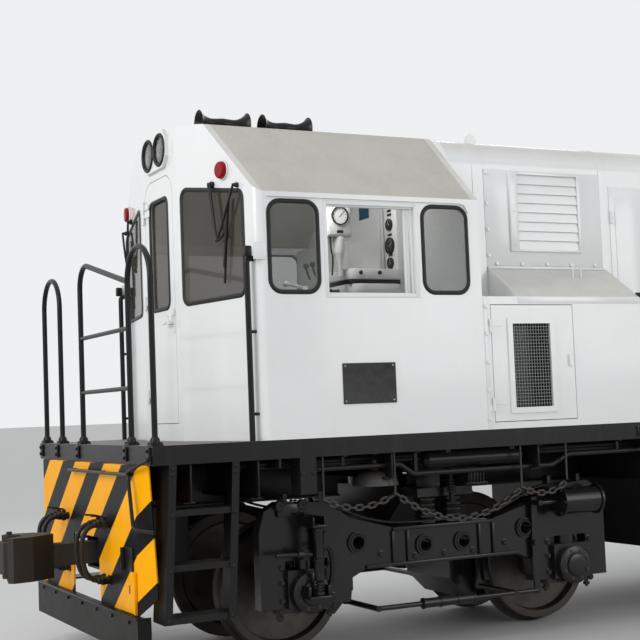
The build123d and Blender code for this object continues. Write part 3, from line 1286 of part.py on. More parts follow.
# Brake gear
cylinder_x = -1100
cylinder_z = 965
cylinder_y = 1062
shoe_face = tread_radius + moving_gap
hanger_y = 500
hanger_x = axle_offset - 520
with BuildPart() as brake_gear:
    for side in (-1, 1):
        # Brake cylinder on its bracket
        rod((bogie_centre_x + cylinder_x - 180, side * cylinder_y, cylinder_z),
            (bogie_centre_x + cylinder_x + 150, side * cylinder_y, cylinder_z), 98)
        rod((bogie_centre_x + cylinder_x + 150, side * cylinder_y, cylinder_z),
            (bogie_centre_x + cylinder_x + 330, side * cylinder_y, cylinder_z), 18)
        block((bogie_centre_x + cylinder_x - 60, bogie_centre_x + cylinder_x + 60),
              (side * side_outer_y, side * (cylinder_y - 60)), (880, 1050))
        # Brake lever from the push rod down to the rigging
        with BuildSketch(side_plane(side * (side_outer_y + 42))) as lever:
            with BuildLine():
                x = bogie_centre_x + cylinder_x + 330
                Polyline((x - 22, cylinder_z + 40), (x + 22, cylinder_z + 40), (x + 30, 640), (x + 20, 300),
                         (x - 20, 300), (x - 30, 640), close=True)
            make_face()
        extrude(amount=side * 20)
        rod((bogie_centre_x + cylinder_x + 330, side * side_outer_y, 670),
            (bogie_centre_x + cylinder_x + 330, side * (side_outer_y + 60), 670), 24)
        rod((bogie_centre_x + cylinder_x + 330, side * (side_outer_y + 22), cylinder_z),
            (bogie_centre_x + cylinder_x + 330, side * (cylinder_y + 18), cylinder_z), 20)
        # Slack adjuster rod along the outside
        rod((bogie_centre_x + cylinder_x + 330, side * (side_outer_y + 32), 320),
            (bogie_centre_x + hanger_x, side * (side_outer_y + 32), 320), 18)
        rod((bogie_centre_x - 200, side * (side_outer_y + 32), 320),
            (bogie_centre_x + 200, side * (side_outer_y + 32), 320), 34)
        for way in (-1, 1):
            axle_x = bogie_centre_x + way * axle_offset
            # Shoe: a ring segment just clear of the tread
            with BuildSketch(side_plane(side * (wheel_back_y + 40))) as shoe:
                with Locations((axle_x, axle_z)):
                    Circle(shoe_face + 45)
                    Circle(shoe_face, mode=Mode.SUBTRACT)
                with Locations((axle_x - way * 490, axle_z)):
                    Rectangle(160, 240, mode=Mode.INTERSECT)
            extrude(amount=-side * 80)
            hang = bogie_centre_x + way * hanger_x
            block((hang - 18, hang + 18), (side * (hanger_y - 18), side * (hanger_y + 18)), (300, 880))
            rod((hang, side * (hanger_y - 30), 850), (hang, side * side_inner_y, 850), 18)
            rod((hang, side * (hanger_y - 30), 320), (hang, side * (side_outer_y + 50), 320), 20)
save_turned(brake_gear, "brake_gear")

motor_x = 700
motor_radius = 300
gear_radius = 330
with BuildPart() as traction_motors:
    for way in (-1, 1):
        axle_x = bogie_centre_x + way * axle_offset
        x = bogie_centre_x + way * motor_x
        with BuildSketch(side_plane(330)) as case:
            with Locations((x, axle_z)):
                RegularPolygon(motor_radius, 8, rotation=22.5)
            with Locations((axle_x, axle_z)):
                Circle(150)
            with Locations((axle_x - way * 130, axle_z)):
                Rectangle(260, 300)
            # Nose resting on the transom
            with Locations((bogie_centre_x + way * (transom_x + 85), 735)):
                Rectangle(80, 90)
        extrude(amount=660)
        with BuildSketch(side_plane(404)) as gear_case:
            with Locations((axle_x, axle_z)):
                Circle(gear_radius)
            with Locations((x + way * 40, axle_z)):
                Circle(190)
            make_hull()
        extrude(amount=80)
        rod((axle_x, -340, axle_z), (axle_x, 420, axle_z), axle_radius + journal_clearance, mode=Mode.SUBTRACT)
save_turned(traction_motors, "traction_motors")

# Wheelsets
wheelset_profile = (  # distance from the middle, radius
    (0, 0), (0, axle_radius), (wheel_back_y - 12, axle_radius), (wheel_back_y - 12, 130),
    (wheel_back_y + 8, 140), (wheel_back_y + 20, 380), (wheel_back_y, 395), (wheel_back_y, 470),
    (wheel_back_y + 10, axle_z), (wheel_back_y + 22, axle_z - 2), (wheel_back_y + 34, tread_radius + 6),
    (wheel_back_y + 44, tread_radius + 1), (wheel_back_y + wheel_width - 10, tread_radius - 4),
    (wheel_back_y + wheel_width, tread_radius - 12), (wheel_back_y + wheel_width, 395),
    (wheel_back_y + 70, 380), (wheel_back_y + 60, 150), (wheel_back_y + wheel_width + 20, 140),
    (wheel_back_y + wheel_width + 20, axle_radius), (790, axle_radius - 8), (790, journal_radius),
    (journal_end_y, journal_radius), (journal_end_y, 0),
)
with BuildPart() as wheelset:
    with BuildSketch(Plane(origin=(0, 0, axle_z), x_dir=(0, 1, 0), z_dir=(1, 0, 0))) as profile:
        with BuildLine():
            Polyline(wheelset_profile, close=True)
        make_face()
    revolve(axis=Axis((0, 0, axle_z), (0, 1, 0)))
    mirror(about=Plane.XZ)

for number, x in enumerate((bogie_centre_x + axle_offset, bogie_centre_x - axle_offset,
                            -bogie_centre_x + axle_offset, -bogie_centre_x - axle_offset), 1):
    piece = wheelset.part.moved(Location((x, 0, 0)))
    piece.label = "wheelset_%d" % number
    export_step(piece, "parts/wheelset_%d.step" % number)
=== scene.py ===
import json
from math import cos, hypot, pi, radians, sin, tan

import bpy
from mathutils import Matrix, Vector


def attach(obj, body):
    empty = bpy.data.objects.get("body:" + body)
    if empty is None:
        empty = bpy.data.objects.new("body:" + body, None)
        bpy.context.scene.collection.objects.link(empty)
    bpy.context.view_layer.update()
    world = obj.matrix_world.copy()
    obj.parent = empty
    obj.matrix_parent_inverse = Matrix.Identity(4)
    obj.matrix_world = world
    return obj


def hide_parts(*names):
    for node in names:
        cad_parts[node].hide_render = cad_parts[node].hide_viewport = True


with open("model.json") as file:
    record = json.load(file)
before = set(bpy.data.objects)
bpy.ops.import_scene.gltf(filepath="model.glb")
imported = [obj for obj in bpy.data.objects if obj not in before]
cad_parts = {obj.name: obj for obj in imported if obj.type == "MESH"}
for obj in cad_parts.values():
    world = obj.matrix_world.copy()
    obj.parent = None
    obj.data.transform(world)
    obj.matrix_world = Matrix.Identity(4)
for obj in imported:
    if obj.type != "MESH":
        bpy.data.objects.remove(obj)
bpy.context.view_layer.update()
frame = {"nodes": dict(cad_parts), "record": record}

bl_info = {
    "name": "Hood locomotive dressing",
    "version": (1, 0, 0),
    "blender": (4, 5, 0),
    "location": "View3D > Sidebar > Locomotive",
    "description": "Finishes, fasteners, lamps, cab fittings and bogie detail for a hood locomotive",
    "category": "Object",
}

# Places taken over from the model, in metres
BODY = "locomotive"
DECK_Z = 1.528
SIDE_Y = 1.370
HOOD_Y = 1.000
HOOD_TOP_Z = 3.680
CAB_NOSE_X = 4.791
CAB_CORNER_X = 4.615
NOSE_HALF_Y = 0.390
SHEET_FRONT_X = 2.600
HOOP_X = 5.320
SIDE_POST_Y = 1.342
POST_BALL_Z = 2.480
BEAM_FACE_X = 5.360
PLATE_FACE_X = 5.400
LEDGE_TOP_Z = 0.470
STEP_LEAN = 0.058
SILL_FOOT_Z = 1.406
STEP_FOOT_Z = 0.431
BOGIE_X = 3.050
AXLE_REACH = 1.095
AXLE_Z = 0.485
FRAME_FACE_Y = 0.950
CYLINDER_Y = 1.062
CYLINDER_Z = 0.965
CYLINDER_ENDS = ((BOGIE_X - 1.280, -1), (BOGIE_X - 0.950, 1))

# Places and sizes of the fittings made here
FOOT_TOP_Z = DECK_Z + 0.010
CLAMP_FACE_X = 5.373
COLUMN_FACE_X = 3.052
COCK_Z = 1.010
BRACKET_Z = 0.640
DRAIN_X = 3.040
DRAIN_Y = 1.070
DAMPER_X = 4.135
DAMPER_Y = 1.125
LATCH_FACE_X = 4.812
RECORDER_FACE_Y = 0.508
BULKHEAD_X = 2.953
SPLICES_X = (1.50, -2.70)
FRAME_PROUD = 0.022
RUBBER_PROUD = 0.0085

# Outlines of turned pieces, as (radius, height) stations
FERRULE = [(0.026, -0.012), (0.028, -0.008), (0.028, 0.010), (0.022, 0.014), (0.022, 0.034), (0.019, 0.038)]
COVER = [(0.140, 0.0), (0.140, 0.006), (0.128, 0.014), (0.086, 0.016), (0.080, 0.030), (0.058, 0.036),
         (0.020, 0.037)]
STUD = [(0.016, 0.0), (0.016, 0.020), (0.026, 0.022), (0.026, 0.042), (0.013, 0.044), (0.013, 0.056)]
CYLINDER_HEAD = [(0.108, -0.008), (0.112, -0.004), (0.112, 0.010), (0.098, 0.016), (0.060, 0.022), (0.040, 0.026)]
DAMPER = [(0.018, 0.0), (0.018, 0.030), (0.034, 0.036), (0.034, 0.052), (0.020, 0.058), (0.020, 0.120),
          (0.030, 0.124), (0.036, 0.132), (0.036, 0.250), (0.040, 0.256), (0.040, 0.272), (0.034, 0.278),
          (0.034, 0.440), (0.038, 0.446), (0.038, 0.470), (0.020, 0.478), (0.020, 0.500)]
BELL_BOWL = [(0.010, 1.268), (0.060, 1.264), (0.098, 1.252), (0.126, 1.230), (0.143, 1.200), (0.149, 1.182),
             (0.159, 1.181), (0.1595, 1.190), (0.154, 1.200), (0.150, 1.214), (0.136, 1.242), (0.110, 1.266),
             (0.074, 1.282), (0.040, 1.288), (0.040, 1.294), (0.024, 1.298), (0.020, 1.310), (0.020, 1.406)]

finishes = {}


def shade(colour, amount=1.0):
    """The colour made darker or lighter by a factor, with its alpha."""
    return tuple(min(1.0, channel * amount) for channel in colour[:3]) + (1.0,)


class Signal:
    """One socket of a finish, with arithmetic that adds Math nodes."""

    def __init__(self, finish, socket):
        self.finish = finish
        self.socket = socket

    def _with(self, operation, first, second=None):
        values = {0: first} if second is None else {0: first, 1: second}
        return self.finish.node("ShaderNodeMath", {"operation": operation}, values)[0]

    def __add__(self, other):
        return self._with("ADD", self, other)

    def __radd__(self, other):
        return self._with("ADD", other, self)

    def __sub__(self, other):
        return self._with("SUBTRACT", self, other)

    def __rsub__(self, other):
        return self._with("SUBTRACT", other, self)

    def __mul__(self, other):
        return self._with("MULTIPLY", self, other)

    def __rmul__(self, other):
        return self._with("MULTIPLY", other, self)

    def __truediv__(self, other):
        return self._with("DIVIDE", self, other)

    def __rtruediv__(self, other):
        return self._with("DIVIDE", other, self)

    def __gt__(self, other):
        return self._with("GREATER_THAN", self, other)

    def __lt__(self, other):
        return self._with("LESS_THAN", self, other)

    def __abs__(self):
        return self._with("ABSOLUTE", self)

    def fraction(self):
        """The part after the point, for a pattern that repeats."""
        return self._with("FRACT", self)

    def clamp(self):
        """Kept between 0 and 1."""
        return self._with("MINIMUM", self._with("MAXIMUM", self, 0.0), 1.0)

    def wave(self):
        return self._with("SINE", self)


class Outputs:
    """The output sockets of one node, as signals."""

    def __init__(self, finish, node):
        self.finish = finish
        self.node = node

    def __getitem__(self, label):
        return Signal(self.finish, self.node.outputs[label])


class Finish:
    """A procedural material read on Object coordinates."""

    def __init__(self, name, **settings):
        self.material = bpy.data.materials.new(name)
        self.material.use_nodes = True
        self.tree = self.material.node_tree
        self.shader = self.tree.nodes["Principled BSDF"]
        for label, value in settings.items():
            self.shader.inputs[label.replace("_", " ")].default_value = value
        self.place = self.node("ShaderNodeTexCoord")["Object"]
        self.x, self.y, self.z = (self.node("ShaderNodeSeparateXYZ", {}, {0: self.place})[i] for i in range(3))
        self.facing = self.node("ShaderNodeSeparateXYZ", {}, {0: self.node("ShaderNodeNewGeometry")["Normal"]})
        finishes[name] = self.material

    def node(self, kind, settings=None, values=None):
        """Add one node: its settings first, then the values or links of its sockets."""
        node = self.tree.nodes.new(kind)
        for label, value in (settings or {}).items():
            setattr(node, label, value)
        for label, value in (values or {}).items():
            if isinstance(value, Signal):
                self.tree.links.new(value.socket, node.inputs[label])
            else:
                node.inputs[label].default_value = value
        return Outputs(self, node)

    def noise(self, scale, detail=4.0, roughness=0.55, stretch=None):
        """Soft noise over the surface, stretched along an axis where the finish runs."""
        place = self.place
        if stretch:
            place = self.node("ShaderNodeMapping", {}, {"Vector": place, "Scale": stretch})["Vector"]
        return self.node("ShaderNodeTexNoise", {}, {"Vector": place, "Scale": scale, "Detail": detail,
                                                    "Roughness": roughness})["Fac"]

    def cells(self, scale):
        """Distance from the middle of each grain."""
        return self.node("ShaderNodeTexVoronoi", {}, {"Vector": self.place, "Scale": scale})["Distance"]

    def step(self, signal, low, high):
        """0 below low, 1 above high, straight between them."""
        return self.node("ShaderNodeMapRange", {}, {0: signal, 1: low, 2: high})[0]

    def mix(self, factor, *colours):
        """Colour between two, each of them a signal or a plain colour."""
        first, second = (colour if isinstance(colour, Signal) else shade(colour) for colour in colours)
        return self.node("ShaderNodeMix", {"data_type": "RGBA"}, {0: factor, 6: first, 7: second})[2]

    def bump(self, height, strength, distance):
        """Relief from a height in metres times distance."""
        normal = self.node("ShaderNodeBump", {}, {"Height": height, "Strength": strength, "Distance": distance})
        self.feed("Normal", normal["Normal"])

    def feed(self, label, signal):
        """Link a signal to one socket of the shader."""
        self.tree.links.new(signal.socket, self.shader.inputs[label])


def paint(name, colour, dust, dust_amount, smoothness, grain, coat=0.0, ledges=0.3, gloss=0.5):
    """Painted steel: broad colour change, dust in runs, dust and painted shade on faces that look up, fine orange
    peel.
    """
    f = Finish(name, Coat_Roughness=0.08, Specular_IOR_Level=gloss, Coat_Weight=coat)
    broad = f.noise(0.9, 3.0)
    cloud = f.noise(6.0, 5.0, 0.6)
    runs = f.noise(5.0, 4.0, 0.6, stretch=(2.2, 2.2, 0.35))
    # Faces that look up take the dust colour: dust on ledges, and on the white paints also painted shade that keeps
    # top faces from reading bright
    ledge = f.step(f.facing["Z"], 0.30, 0.75)
    low = 1.0 - f.step(f.z, 0.3, 1.9)
    dust_and_top_shade = ledge * (0.55 + cloud * 0.8) * ledges
    dust_and_top_shade = (dust_and_top_shade + (f.step(runs, 0.52, 0.75) * 0.35 + low * cloud * 0.7) * dust_amount).clamp()
    tone = f.mix(f.step(broad, 0.3, 0.7), shade(colour, 0.93), colour)
    f.feed("Base Color", f.mix(dust_and_top_shade, tone, dust))
    f.feed("Roughness", (smoothness + cloud * 0.10 + dust_and_top_shade * 0.45).clamp())
    f.bump(f.noise(grain, 2.0) + broad * 3.0 + f.noise(5.0, 2.0) * 1.6, 0.10, 0.002)


def paints(body, grit, black, dust):
    """Paints of body, frame and cab."""
    # The white paints take much ledge colour: dust, and painted shade on their top faces
    paint("white_paint", body, grit, 0.12, 0.14, 180.0, coat=0.4, ledges=0.60)
    paint("white_trim", shade(body, 1.02), grit, 0.12, 0.26, 200.0, ledges=0.6)
    paint("black_paint", black, dust, 0.10, 0.24, 140.0, ledges=0.22, gloss=0.22)
    paint("bogie_iron", shade(black, 0.7), dust, 0.10, 0.16, 60.0, ledges=0.16, gloss=0.38)
    paint("coupler_iron", (0.020, 0.018, 0.016), (0.07, 0.05, 0.036), 0.5, 0.42, 70.0, gloss=0.3)
    paint("cab_grey", (0.74, 0.75, 0.74), (0.40, 0.39, 0.36), 0.12, 0.32, 160.0, ledges=0.2)
    paint("cast_block", (0.20, 0.23, 0.22), dust, 0.4, 0.45, 60.0)
    paint("mesh_steel", (0.020, 0.020, 0.020), dust, 0.2, 0.45, 90.0, gloss=0.3)
    paint("bell_metal", (0.060, 0.058, 0.053), dust, 0.25, 0.30, 60.0, gloss=0.4)


def roof_paint(roof, body):
    """White with sanded grit in it, yellowed, stained and matt."""
    f = Finish("roof_paint", Specular_IOR_Level=0.3)
    fine = f.noise(420.0, 2.0)
    speck = f.step(f.noise(95.0, 3.0, 0.7), 0.52, 0.72)
    stain = f.noise(3.5, 6.0, 0.65)
    tone = f.mix(f.step(stain, 0.42, 0.75), roof, shade(roof, 0.88))
    top = f.mix(speck * 0.5, tone, shade(roof, 0.70))
    f.feed("Base Color", f.mix(f.step(abs(f.facing["X"]), 0.15, 0.3), top, shade(body, 0.98)))
    f.feed("Roughness", 0.45 + fine * 0.2)
    f.bump(fine + f.noise(60.0, 3.0) * 1.6, 0.5, 0.003)


def deck_paint(black, dust):
    """Black sill, and worn grey tread plate with raised lozenges on top."""
    f = Finish("deck_paint", Specular_IOR_Level=0.22)
    cloud = f.noise(7.0, 6.0, 0.62)
    top = (f.facing["Z"] > 0.8) * (f.z > DECK_Z - 0.008)
    along = (f.x * 52.0 + f.y * 52.0).wave() * (f.x * 26.0 - f.y * 26.0).wave()
    lozenge = f.step(abs(along), 0.55, 0.8)
    runs = f.step(f.noise(5.0, 5.0, 0.6, stretch=(2.0, 2.0, 0.4)), 0.48, 0.75)
    steel = f.mix(lozenge, (0.17, 0.165, 0.155), (0.38, 0.37, 0.35))
    side = f.mix((runs * 0.35 + cloud * 0.15).clamp(), black, (0.030, 0.029, 0.026))
    f.feed("Base Color", f.mix(top, side, f.mix(cloud, shade(dust, 1.2), steel)))
    f.feed("Roughness", 0.24 + cloud * 0.15 + top * 0.2)
    f.bump(lozenge * top + cloud * 0.4, 0.5, 0.002)


def stripe_paints(look, black, dust):
    """End plates: slanting bars with chipped edges, a little grimy low down, and the plain colour beside them."""
    f = Finish("stripe_paint", Specular_IOR_Level=0.08)
    ahead = (f.x > 0.0) * 2.0 - 1.0
    slant = (f.y * ahead - f.z / look.stripe_slope - look.stripe_start) / look.stripe_pitch
    wobble = f.noise(40.0, 3.0) * 0.010
    stripe = (slant + wobble).fraction() < look.stripe_share
    above_ledge = f.z > LEDGE_TOP_Z + 0.0005
    cloud = f.noise(9.0, 5.0, 0.6)
    grime = f.step(f.noise(4.0, 5.0, 0.65, stretch=(1.6, 1.6, 0.5)), 0.60, 0.85) * 0.12
    grime = (grime * 0.5 + (1.0 - f.step(f.z, 0.45, 0.70)) * cloud * 0.16).clamp()
    yellow = f.mix(f.step(cloud, 0.3, 0.8), look.stripe, shade(look.stripe, 0.93))
    f.feed("Base Color", f.mix(grime, f.mix(stripe * above_ledge, black, yellow), dust))
    f.feed("Roughness", 0.28 + cloud * 0.15 + grime * 0.4)
    f.bump(f.noise(120.0, 2.0), 0.08, 0.002)

    f = Finish("plain_yellow", Specular_IOR_Level=0.08)
    cloud = f.noise(14.0, 5.0, 0.6)
    f.feed("Base Color", f.mix(f.step(cloud, 0.3, 0.8), look.stripe, shade(look.stripe, 0.85)))
    f.feed("Roughness", 0.28 + cloud * 0.2)
    f.bump(f.noise(120.0, 2.0), 0.08, 0.002)


def glazing():
    """Window glass, lamp glass and reflector, red lens and the lamp in the cab ceiling."""
    # Windshields darker, browner and less see-through than the side panes: painted reflection; the smears on both are
    # dust
    f = Finish("tinted_glass", IOR=1.45, Specular_IOR_Level=0.45)
    smear = f.step(f.noise(3.0, 6.0, 0.6, stretch=(1.0, 1.0, 0.3)), 0.4, 0.8)
    ahead = f.step(abs(f.facing["X"]), 0.5, 0.8)
    clear = f.mix(smear, (0.07, 0.078, 0.070), (0.13, 0.14, 0.13))
    f.feed("Base Color", f.mix(ahead, clear, f.mix(smear, (0.042, 0.037, 0.027), (0.062, 0.055, 0.042))))
    f.feed("Alpha", (0.28 + ahead * 0.44 + smear * 0.08).clamp())
    f.feed("Roughness", 0.02 + smear * 0.06)

    f = Finish("lamp_glass", IOR=1.45, Transmission_Weight=0.95)
    flutes = (f.y * 420.0).wave()
    f.feed("Roughness", 0.02 + f.noise(30.0) * 0.03)
    f.bump(flutes, 0.12, 0.0012)

    # Reflector metal dark grey, not bright: painted reflection of dark surroundings
    f = Finish("reflector", Metallic=1.0)
    haze = f.noise(12.0, 4.0)
    f.feed("Base Color", f.mix(haze, (0.26, 0.265, 0.25), (0.10, 0.102, 0.095)))
    f.feed("Roughness", 0.05 + haze * 0.08)

    f = Finish("red_lens", IOR=1.45, Specular_IOR_Level=0.12)
    rings = (f.z * 520.0).wave() * (f.y * 520.0).wave()
    f.feed("Base Color", f.mix(f.noise(8.0), (0.36, 0.006, 0.014), (0.22, 0.004, 0.010)))
    f.feed("Roughness", 0.12 + f.noise(30.0) * 0.08)
    f.bump(rings, 0.8, 0.0015)

    # Milky cover over a lit tube
    f = Finish("ceiling_lamp", Emission_Strength=1.2, Roughness=0.4)
    f.feed("Emission Color", f.mix(f.noise(6.0), (1.0, 0.98, 0.92), (0.92, 0.90, 0.85)))
    f.feed("Base Color", f.mix(f.noise(6.0), (0.85, 0.85, 0.82), (0.78, 0.78, 0.75)))


def small_finishes():
    """Rubber, worn steel, seat vinyl, dials, notice and builder's plate."""
    # Rubber, with a grey bloom
    f = Finish("rubber", Specular_IOR_Level=0.3)
    bloom = f.noise(14.0, 5.0)
    f.feed("Base Color", f.mix(bloom, (0.007, 0.007, 0.007), (0.016, 0.016, 0.016)))
    f.feed("Roughness", 0.34 + bloom * 0.2)
    f.bump(f.noise(300.0, 2.0), 0.12, 0.001)

    # Worn steel for chains, treads and screws; the wheel steel is also darker than bare steel, as painted shade of
    # wheels standing in shadow
    for name, metal, rust, amount in (("chain_steel", (0.060, 0.055, 0.052), (0.045, 0.030, 0.022), 0.5),
                                      ("wheel_steel", (0.070, 0.064, 0.058), (0.040, 0.027, 0.019), 0.6),
                                      ("bright_steel", (0.40, 0.40, 0.40), (0.20, 0.17, 0.14), 0.2)):
        f = Finish(name)
        cloud = f.noise(11.0, 6.0, 0.62)
        spread = (f.step(cloud, 0.4, 0.7) * amount).clamp()
        f.feed("Base Color", f.mix(spread, metal, rust))
        f.feed("Metallic", 0.85 - spread * 0.7)
        f.feed("Roughness", 0.32 + spread * 0.4)
        f.bump(f.noise(160.0, 3.0), 0.2, 0.001)

    # Seat vinyl: fine grain and a patchy tone
    f = Finish("seat_vinyl")
    grain = f.cells(420.0)
    f.feed("Base Color", f.mix(f.noise(5.0), (0.020, 0.020, 0.022), (0.040, 0.038, 0.036)))
    f.feed("Roughness", 0.42 + grain * 0.15)
    f.bump(grain, 0.3, 0.0008)

    for name, first, second, rough in (("dial_face", (0.010, 0.010, 0.011), (0.022, 0.022, 0.023), 0.30),
                                       ("dial_white", (0.75, 0.75, 0.72), (0.66, 0.66, 0.63), 0.45),
                                       ("note_blue", (0.015, 0.075, 0.150), (0.020, 0.095, 0.180), 0.40)):
        f = Finish(name)
        f.feed("Base Color", f.mix(f.noise(40.0), first, second))
        f.feed("Roughness", rough + f.noise(20.0) * 0.1)

    # Blank builder's plate: cast and painted black
    f = Finish("plate_black", Specular_IOR_Level=0.35)
    cloud = f.noise(25.0, 5.0)
    f.feed("Base Color", f.mix(f.step(cloud, 0.35, 0.8), (0.014, 0.014, 0.015), (0.040, 0.039, 0.037)))
    f.feed("Roughness", 0.32 + cloud * 0.3)
    f.bump(f.noise(220.0, 3.0), 0.3, 0.001)


def build_finishes(look):
    """Every finish of the locomotive, from the colours in the settings."""
    body, grit, black, dust = tuple(look.body), tuple(look.grit), tuple(look.frame_black), tuple(look.dust)
    paints(body, grit, black, dust)
    roof_paint(tuple(look.roof), body)
    deck_paint(black, dust)
    stripe_paints(look, black, dust)
    glazing()
    small_finishes()


# Nodes whose finish differs from the slot of their record
# The gear inside the equipment cabinet takes near-black bogie iron: painted shade behind the grille meshes
special_finish = {"cab_door_glass": "tinted_glass", "sliding_windows": "white_trim", "cabinet_gear": "bogie_iron",
                  "grille_mesh_left": "cast_block", "grille_mesh_right": "cast_block"}


def deselect():
    bpy.ops.object.select_all(action="DESELECT")


def keep_only(piece):
    """Select this piece alone and make it active."""
    deselect()
    piece.select_set(True)
    bpy.context.view_layer.objects.active = piece


def apply_place(piece):
    """Put the object at the origin, unturned and unscaled, with its place in its mesh."""
    keep_only(piece)
    bpy.ops.object.transform_apply(location=True, rotation=True, scale=True)
    return piece


def moved(piece, place):
    """The piece put where a matrix says, with its place in its mesh."""
    piece.matrix_world = place
    return apply_place(piece)


def outward(piece):
    """Turn every face of a closed piece outwards."""
    keep_only(piece)
    bpy.ops.object.mode_set(mode="EDIT")
    bpy.ops.mesh.select_all(action="SELECT")
    bpy.ops.mesh.normals_make_consistent(inside=False)
    bpy.ops.object.mode_set(mode="OBJECT")
    return piece


def modify(piece, kind, **settings):
    """Apply one modifier with its settings."""
    keep_only(piece)
    modifier = piece.modifiers.new(kind.lower(), kind)
    for label, value in settings.items():
        setattr(modifier, label, value)
    bpy.ops.object.modifier_apply(modifier=modifier.name)
    return piece


def bevel(piece, width, segments=2, angle=30):
    """Round off the sharp edges."""
    return modify(piece, "BEVEL", width=width, segments=segments, limit_method="ANGLE", angle_limit=radians(angle))


def block(name, low, high):
    """Plain block between two corners."""
    deselect()
    bpy.ops.mesh.primitive_cube_add(size=1, location=[(a + b) / 2 for a, b in zip(low, high)])
    piece = bpy.context.active_object
    piece.name = name
    piece.scale = [abs(b - a) for a, b in zip(low, high)]
    return apply_place(piece)


def bar(name, low, high, edge=0.002, segments=2):
    """Block between two corners, its edges eased."""
    thinnest = min(abs(b - a) for a, b in zip(low, high))
    return bevel(block(name, low, high), min(edge, thinnest * 0.4), segments)


def flipped(point, along, across):
    """The point carried to the other end (along -1) or to the right side (across -1)."""
    return (point[0] * along, point[1] * across, point[2])


def bars(rows, across, along=1):
    """Bars of one side and end, from rows of (name, low, high, edge)."""
    return [bar(name, flipped(low, along, across), flipped(high, along, across), edge)
            for name, low, high, edge in rows]


def tubes(rows, across, along=1):
    """Tubes of one side and end, from rows of (name, radius, points)."""
    return [tube(name, [flipped(point, along, across) for point in points], radius)
            for name, radius, points in rows]


def turned(name, stations, sides):
    """Round piece about Z, built ring by ring from (radius, height) stations by extrusion."""
    radius, height = stations[0]
    deselect()
    bpy.ops.mesh.primitive_circle_add(vertices=sides, radius=radius, fill_type="NGON", location=(0, 0, height))
    piece = bpy.context.active_object
    piece.name = name
    apply_place(piece)
    bpy.ops.object.mode_set(mode="EDIT")
    bpy.ops.mesh.select_all(action="SELECT")
    for wider, higher in stations[1:]:
        bpy.ops.mesh.extrude_region_move(TRANSFORM_OT_translate={"value": (0, 0, higher - height)})
        bpy.ops.transform.resize(value=(wider / radius, wider / radius, 1), center_override=(0, 0, higher))
        radius, height = wider, higher
    bpy.ops.object.mode_set(mode="OBJECT")
    return outward(piece)


def standing(point, facing, turn=0.0):
    """Matrix that takes a piece modelled about Z to a point, with its top facing a direction."""
    upright = Vector(facing).to_track_quat("Z", "Y").to_matrix().to_4x4()
    return Matrix.Translation(Vector(point)) @ upright @ Matrix.Rotation(turn, 4, "Z")


def stand(piece, point, facing=(0, 0, 1)):
    """Stand a piece modelled about Z on a point, its top facing a direction."""
    return moved(piece, standing(point, facing))


def ring(radius, thickness, point, facing, around=64, across=10):
    """Round bead about an axis."""
    deselect()
    bpy.ops.mesh.primitive_torus_add(major_radius=radius, minor_radius=thickness, major_segments=around,
                                     minor_segments=across)
    return stand(bpy.context.active_object, point, facing)


def crossings(xs, ys, zs, facing, turn):
    """Places for scatter at every crossing of three lists."""
    return [((x, y, z), facing, turn) for x in xs for y in ys for z in zs]


def scatter(model, name, places):
    """Copies of a model, each with its own mesh, at (point, facing, turn), joined as one piece."""
    copies = []
    for place in places:
        copy = bpy.data.objects.new(name, model.data.copy())
        bpy.context.collection.objects.link(copy)
        copy.matrix_world = standing(*place)
        copies.append(copy)
    return join(name, copies)


def join(name, parts):
    """One object out of several, with its place in its mesh."""
    deselect()
    for part in parts:
        part.select_set(True)
    bpy.context.view_layer.objects.active = parts[0]
    bpy.ops.object.join()
    piece = bpy.context.active_object
    piece.name = name
    return apply_place(piece)


def discard(*models):
    """Remove models that were only copied from."""
    for model in models:
        bpy.data.objects.remove(model, do_unlink=True)


def other_end(piece, name):
    """Copy for the other end, half a turn about the upright axis."""
    copy = bpy.data.objects.new(name, piece.data.copy())
    bpy.context.collection.objects.link(copy)
    return moved(copy, Matrix.Rotation(pi, 4, "Z"))


def dress(piece, finish, body=BODY, slot=None, angle=35):
    """Give a piece its finish, its smooth faces and its body; its slot, the finish's unless named, is worked out but
    not given to it.
    """
    slot = slot or finish
    piece.data.materials.clear()
    piece.data.materials.append(finishes[finish])
    keep_only(piece)
    bpy.ops.object.shade_smooth_by_angle(angle=radians(angle))
    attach(piece, body)
    return piece


def assemble(name, parts, finish, **ways):
    """One dressed piece out of several parts."""
    return dress(join(name, parts), finish, **ways)


def curve(name, kind, points, **settings):
    """Curve through points, with the settings of its data."""
    data = bpy.data.curves.new(name, "CURVE")
    for label, value in settings.items():
        setattr(data, label, value)
    spline = data.splines.new(kind)
    spline.points.add(len(points) - 1)
    for target, point in zip(spline.points, points):
        target.co = (*point, 1.0)
    piece = bpy.data.objects.new(name, data)
    bpy.context.collection.objects.link(piece)
    return piece


def meshed(piece):
    """The curve made a mesh."""
    name = piece.name
    keep_only(piece)
    bpy.ops.object.convert(target="MESH")
    piece = bpy.context.active_object
    piece.name = name
    return piece


def line(name, points, radius, resolution):
    """Round line on one smooth curve through the space of its points."""
    piece = curve(name, "NURBS", points, dimensions="3D", bevel_depth=radius, bevel_resolution=resolution,
                  use_fill_caps=True, resolution_u=10)
    spline = piece.data.splines[0]
    spline.order_u = 3
    spline.use_endpoint_u = True
    return piece


def tube(name, points, radius):
    """Rigid pipe: the same line made a mesh."""
    return meshed(line(name, points, radius, 2))


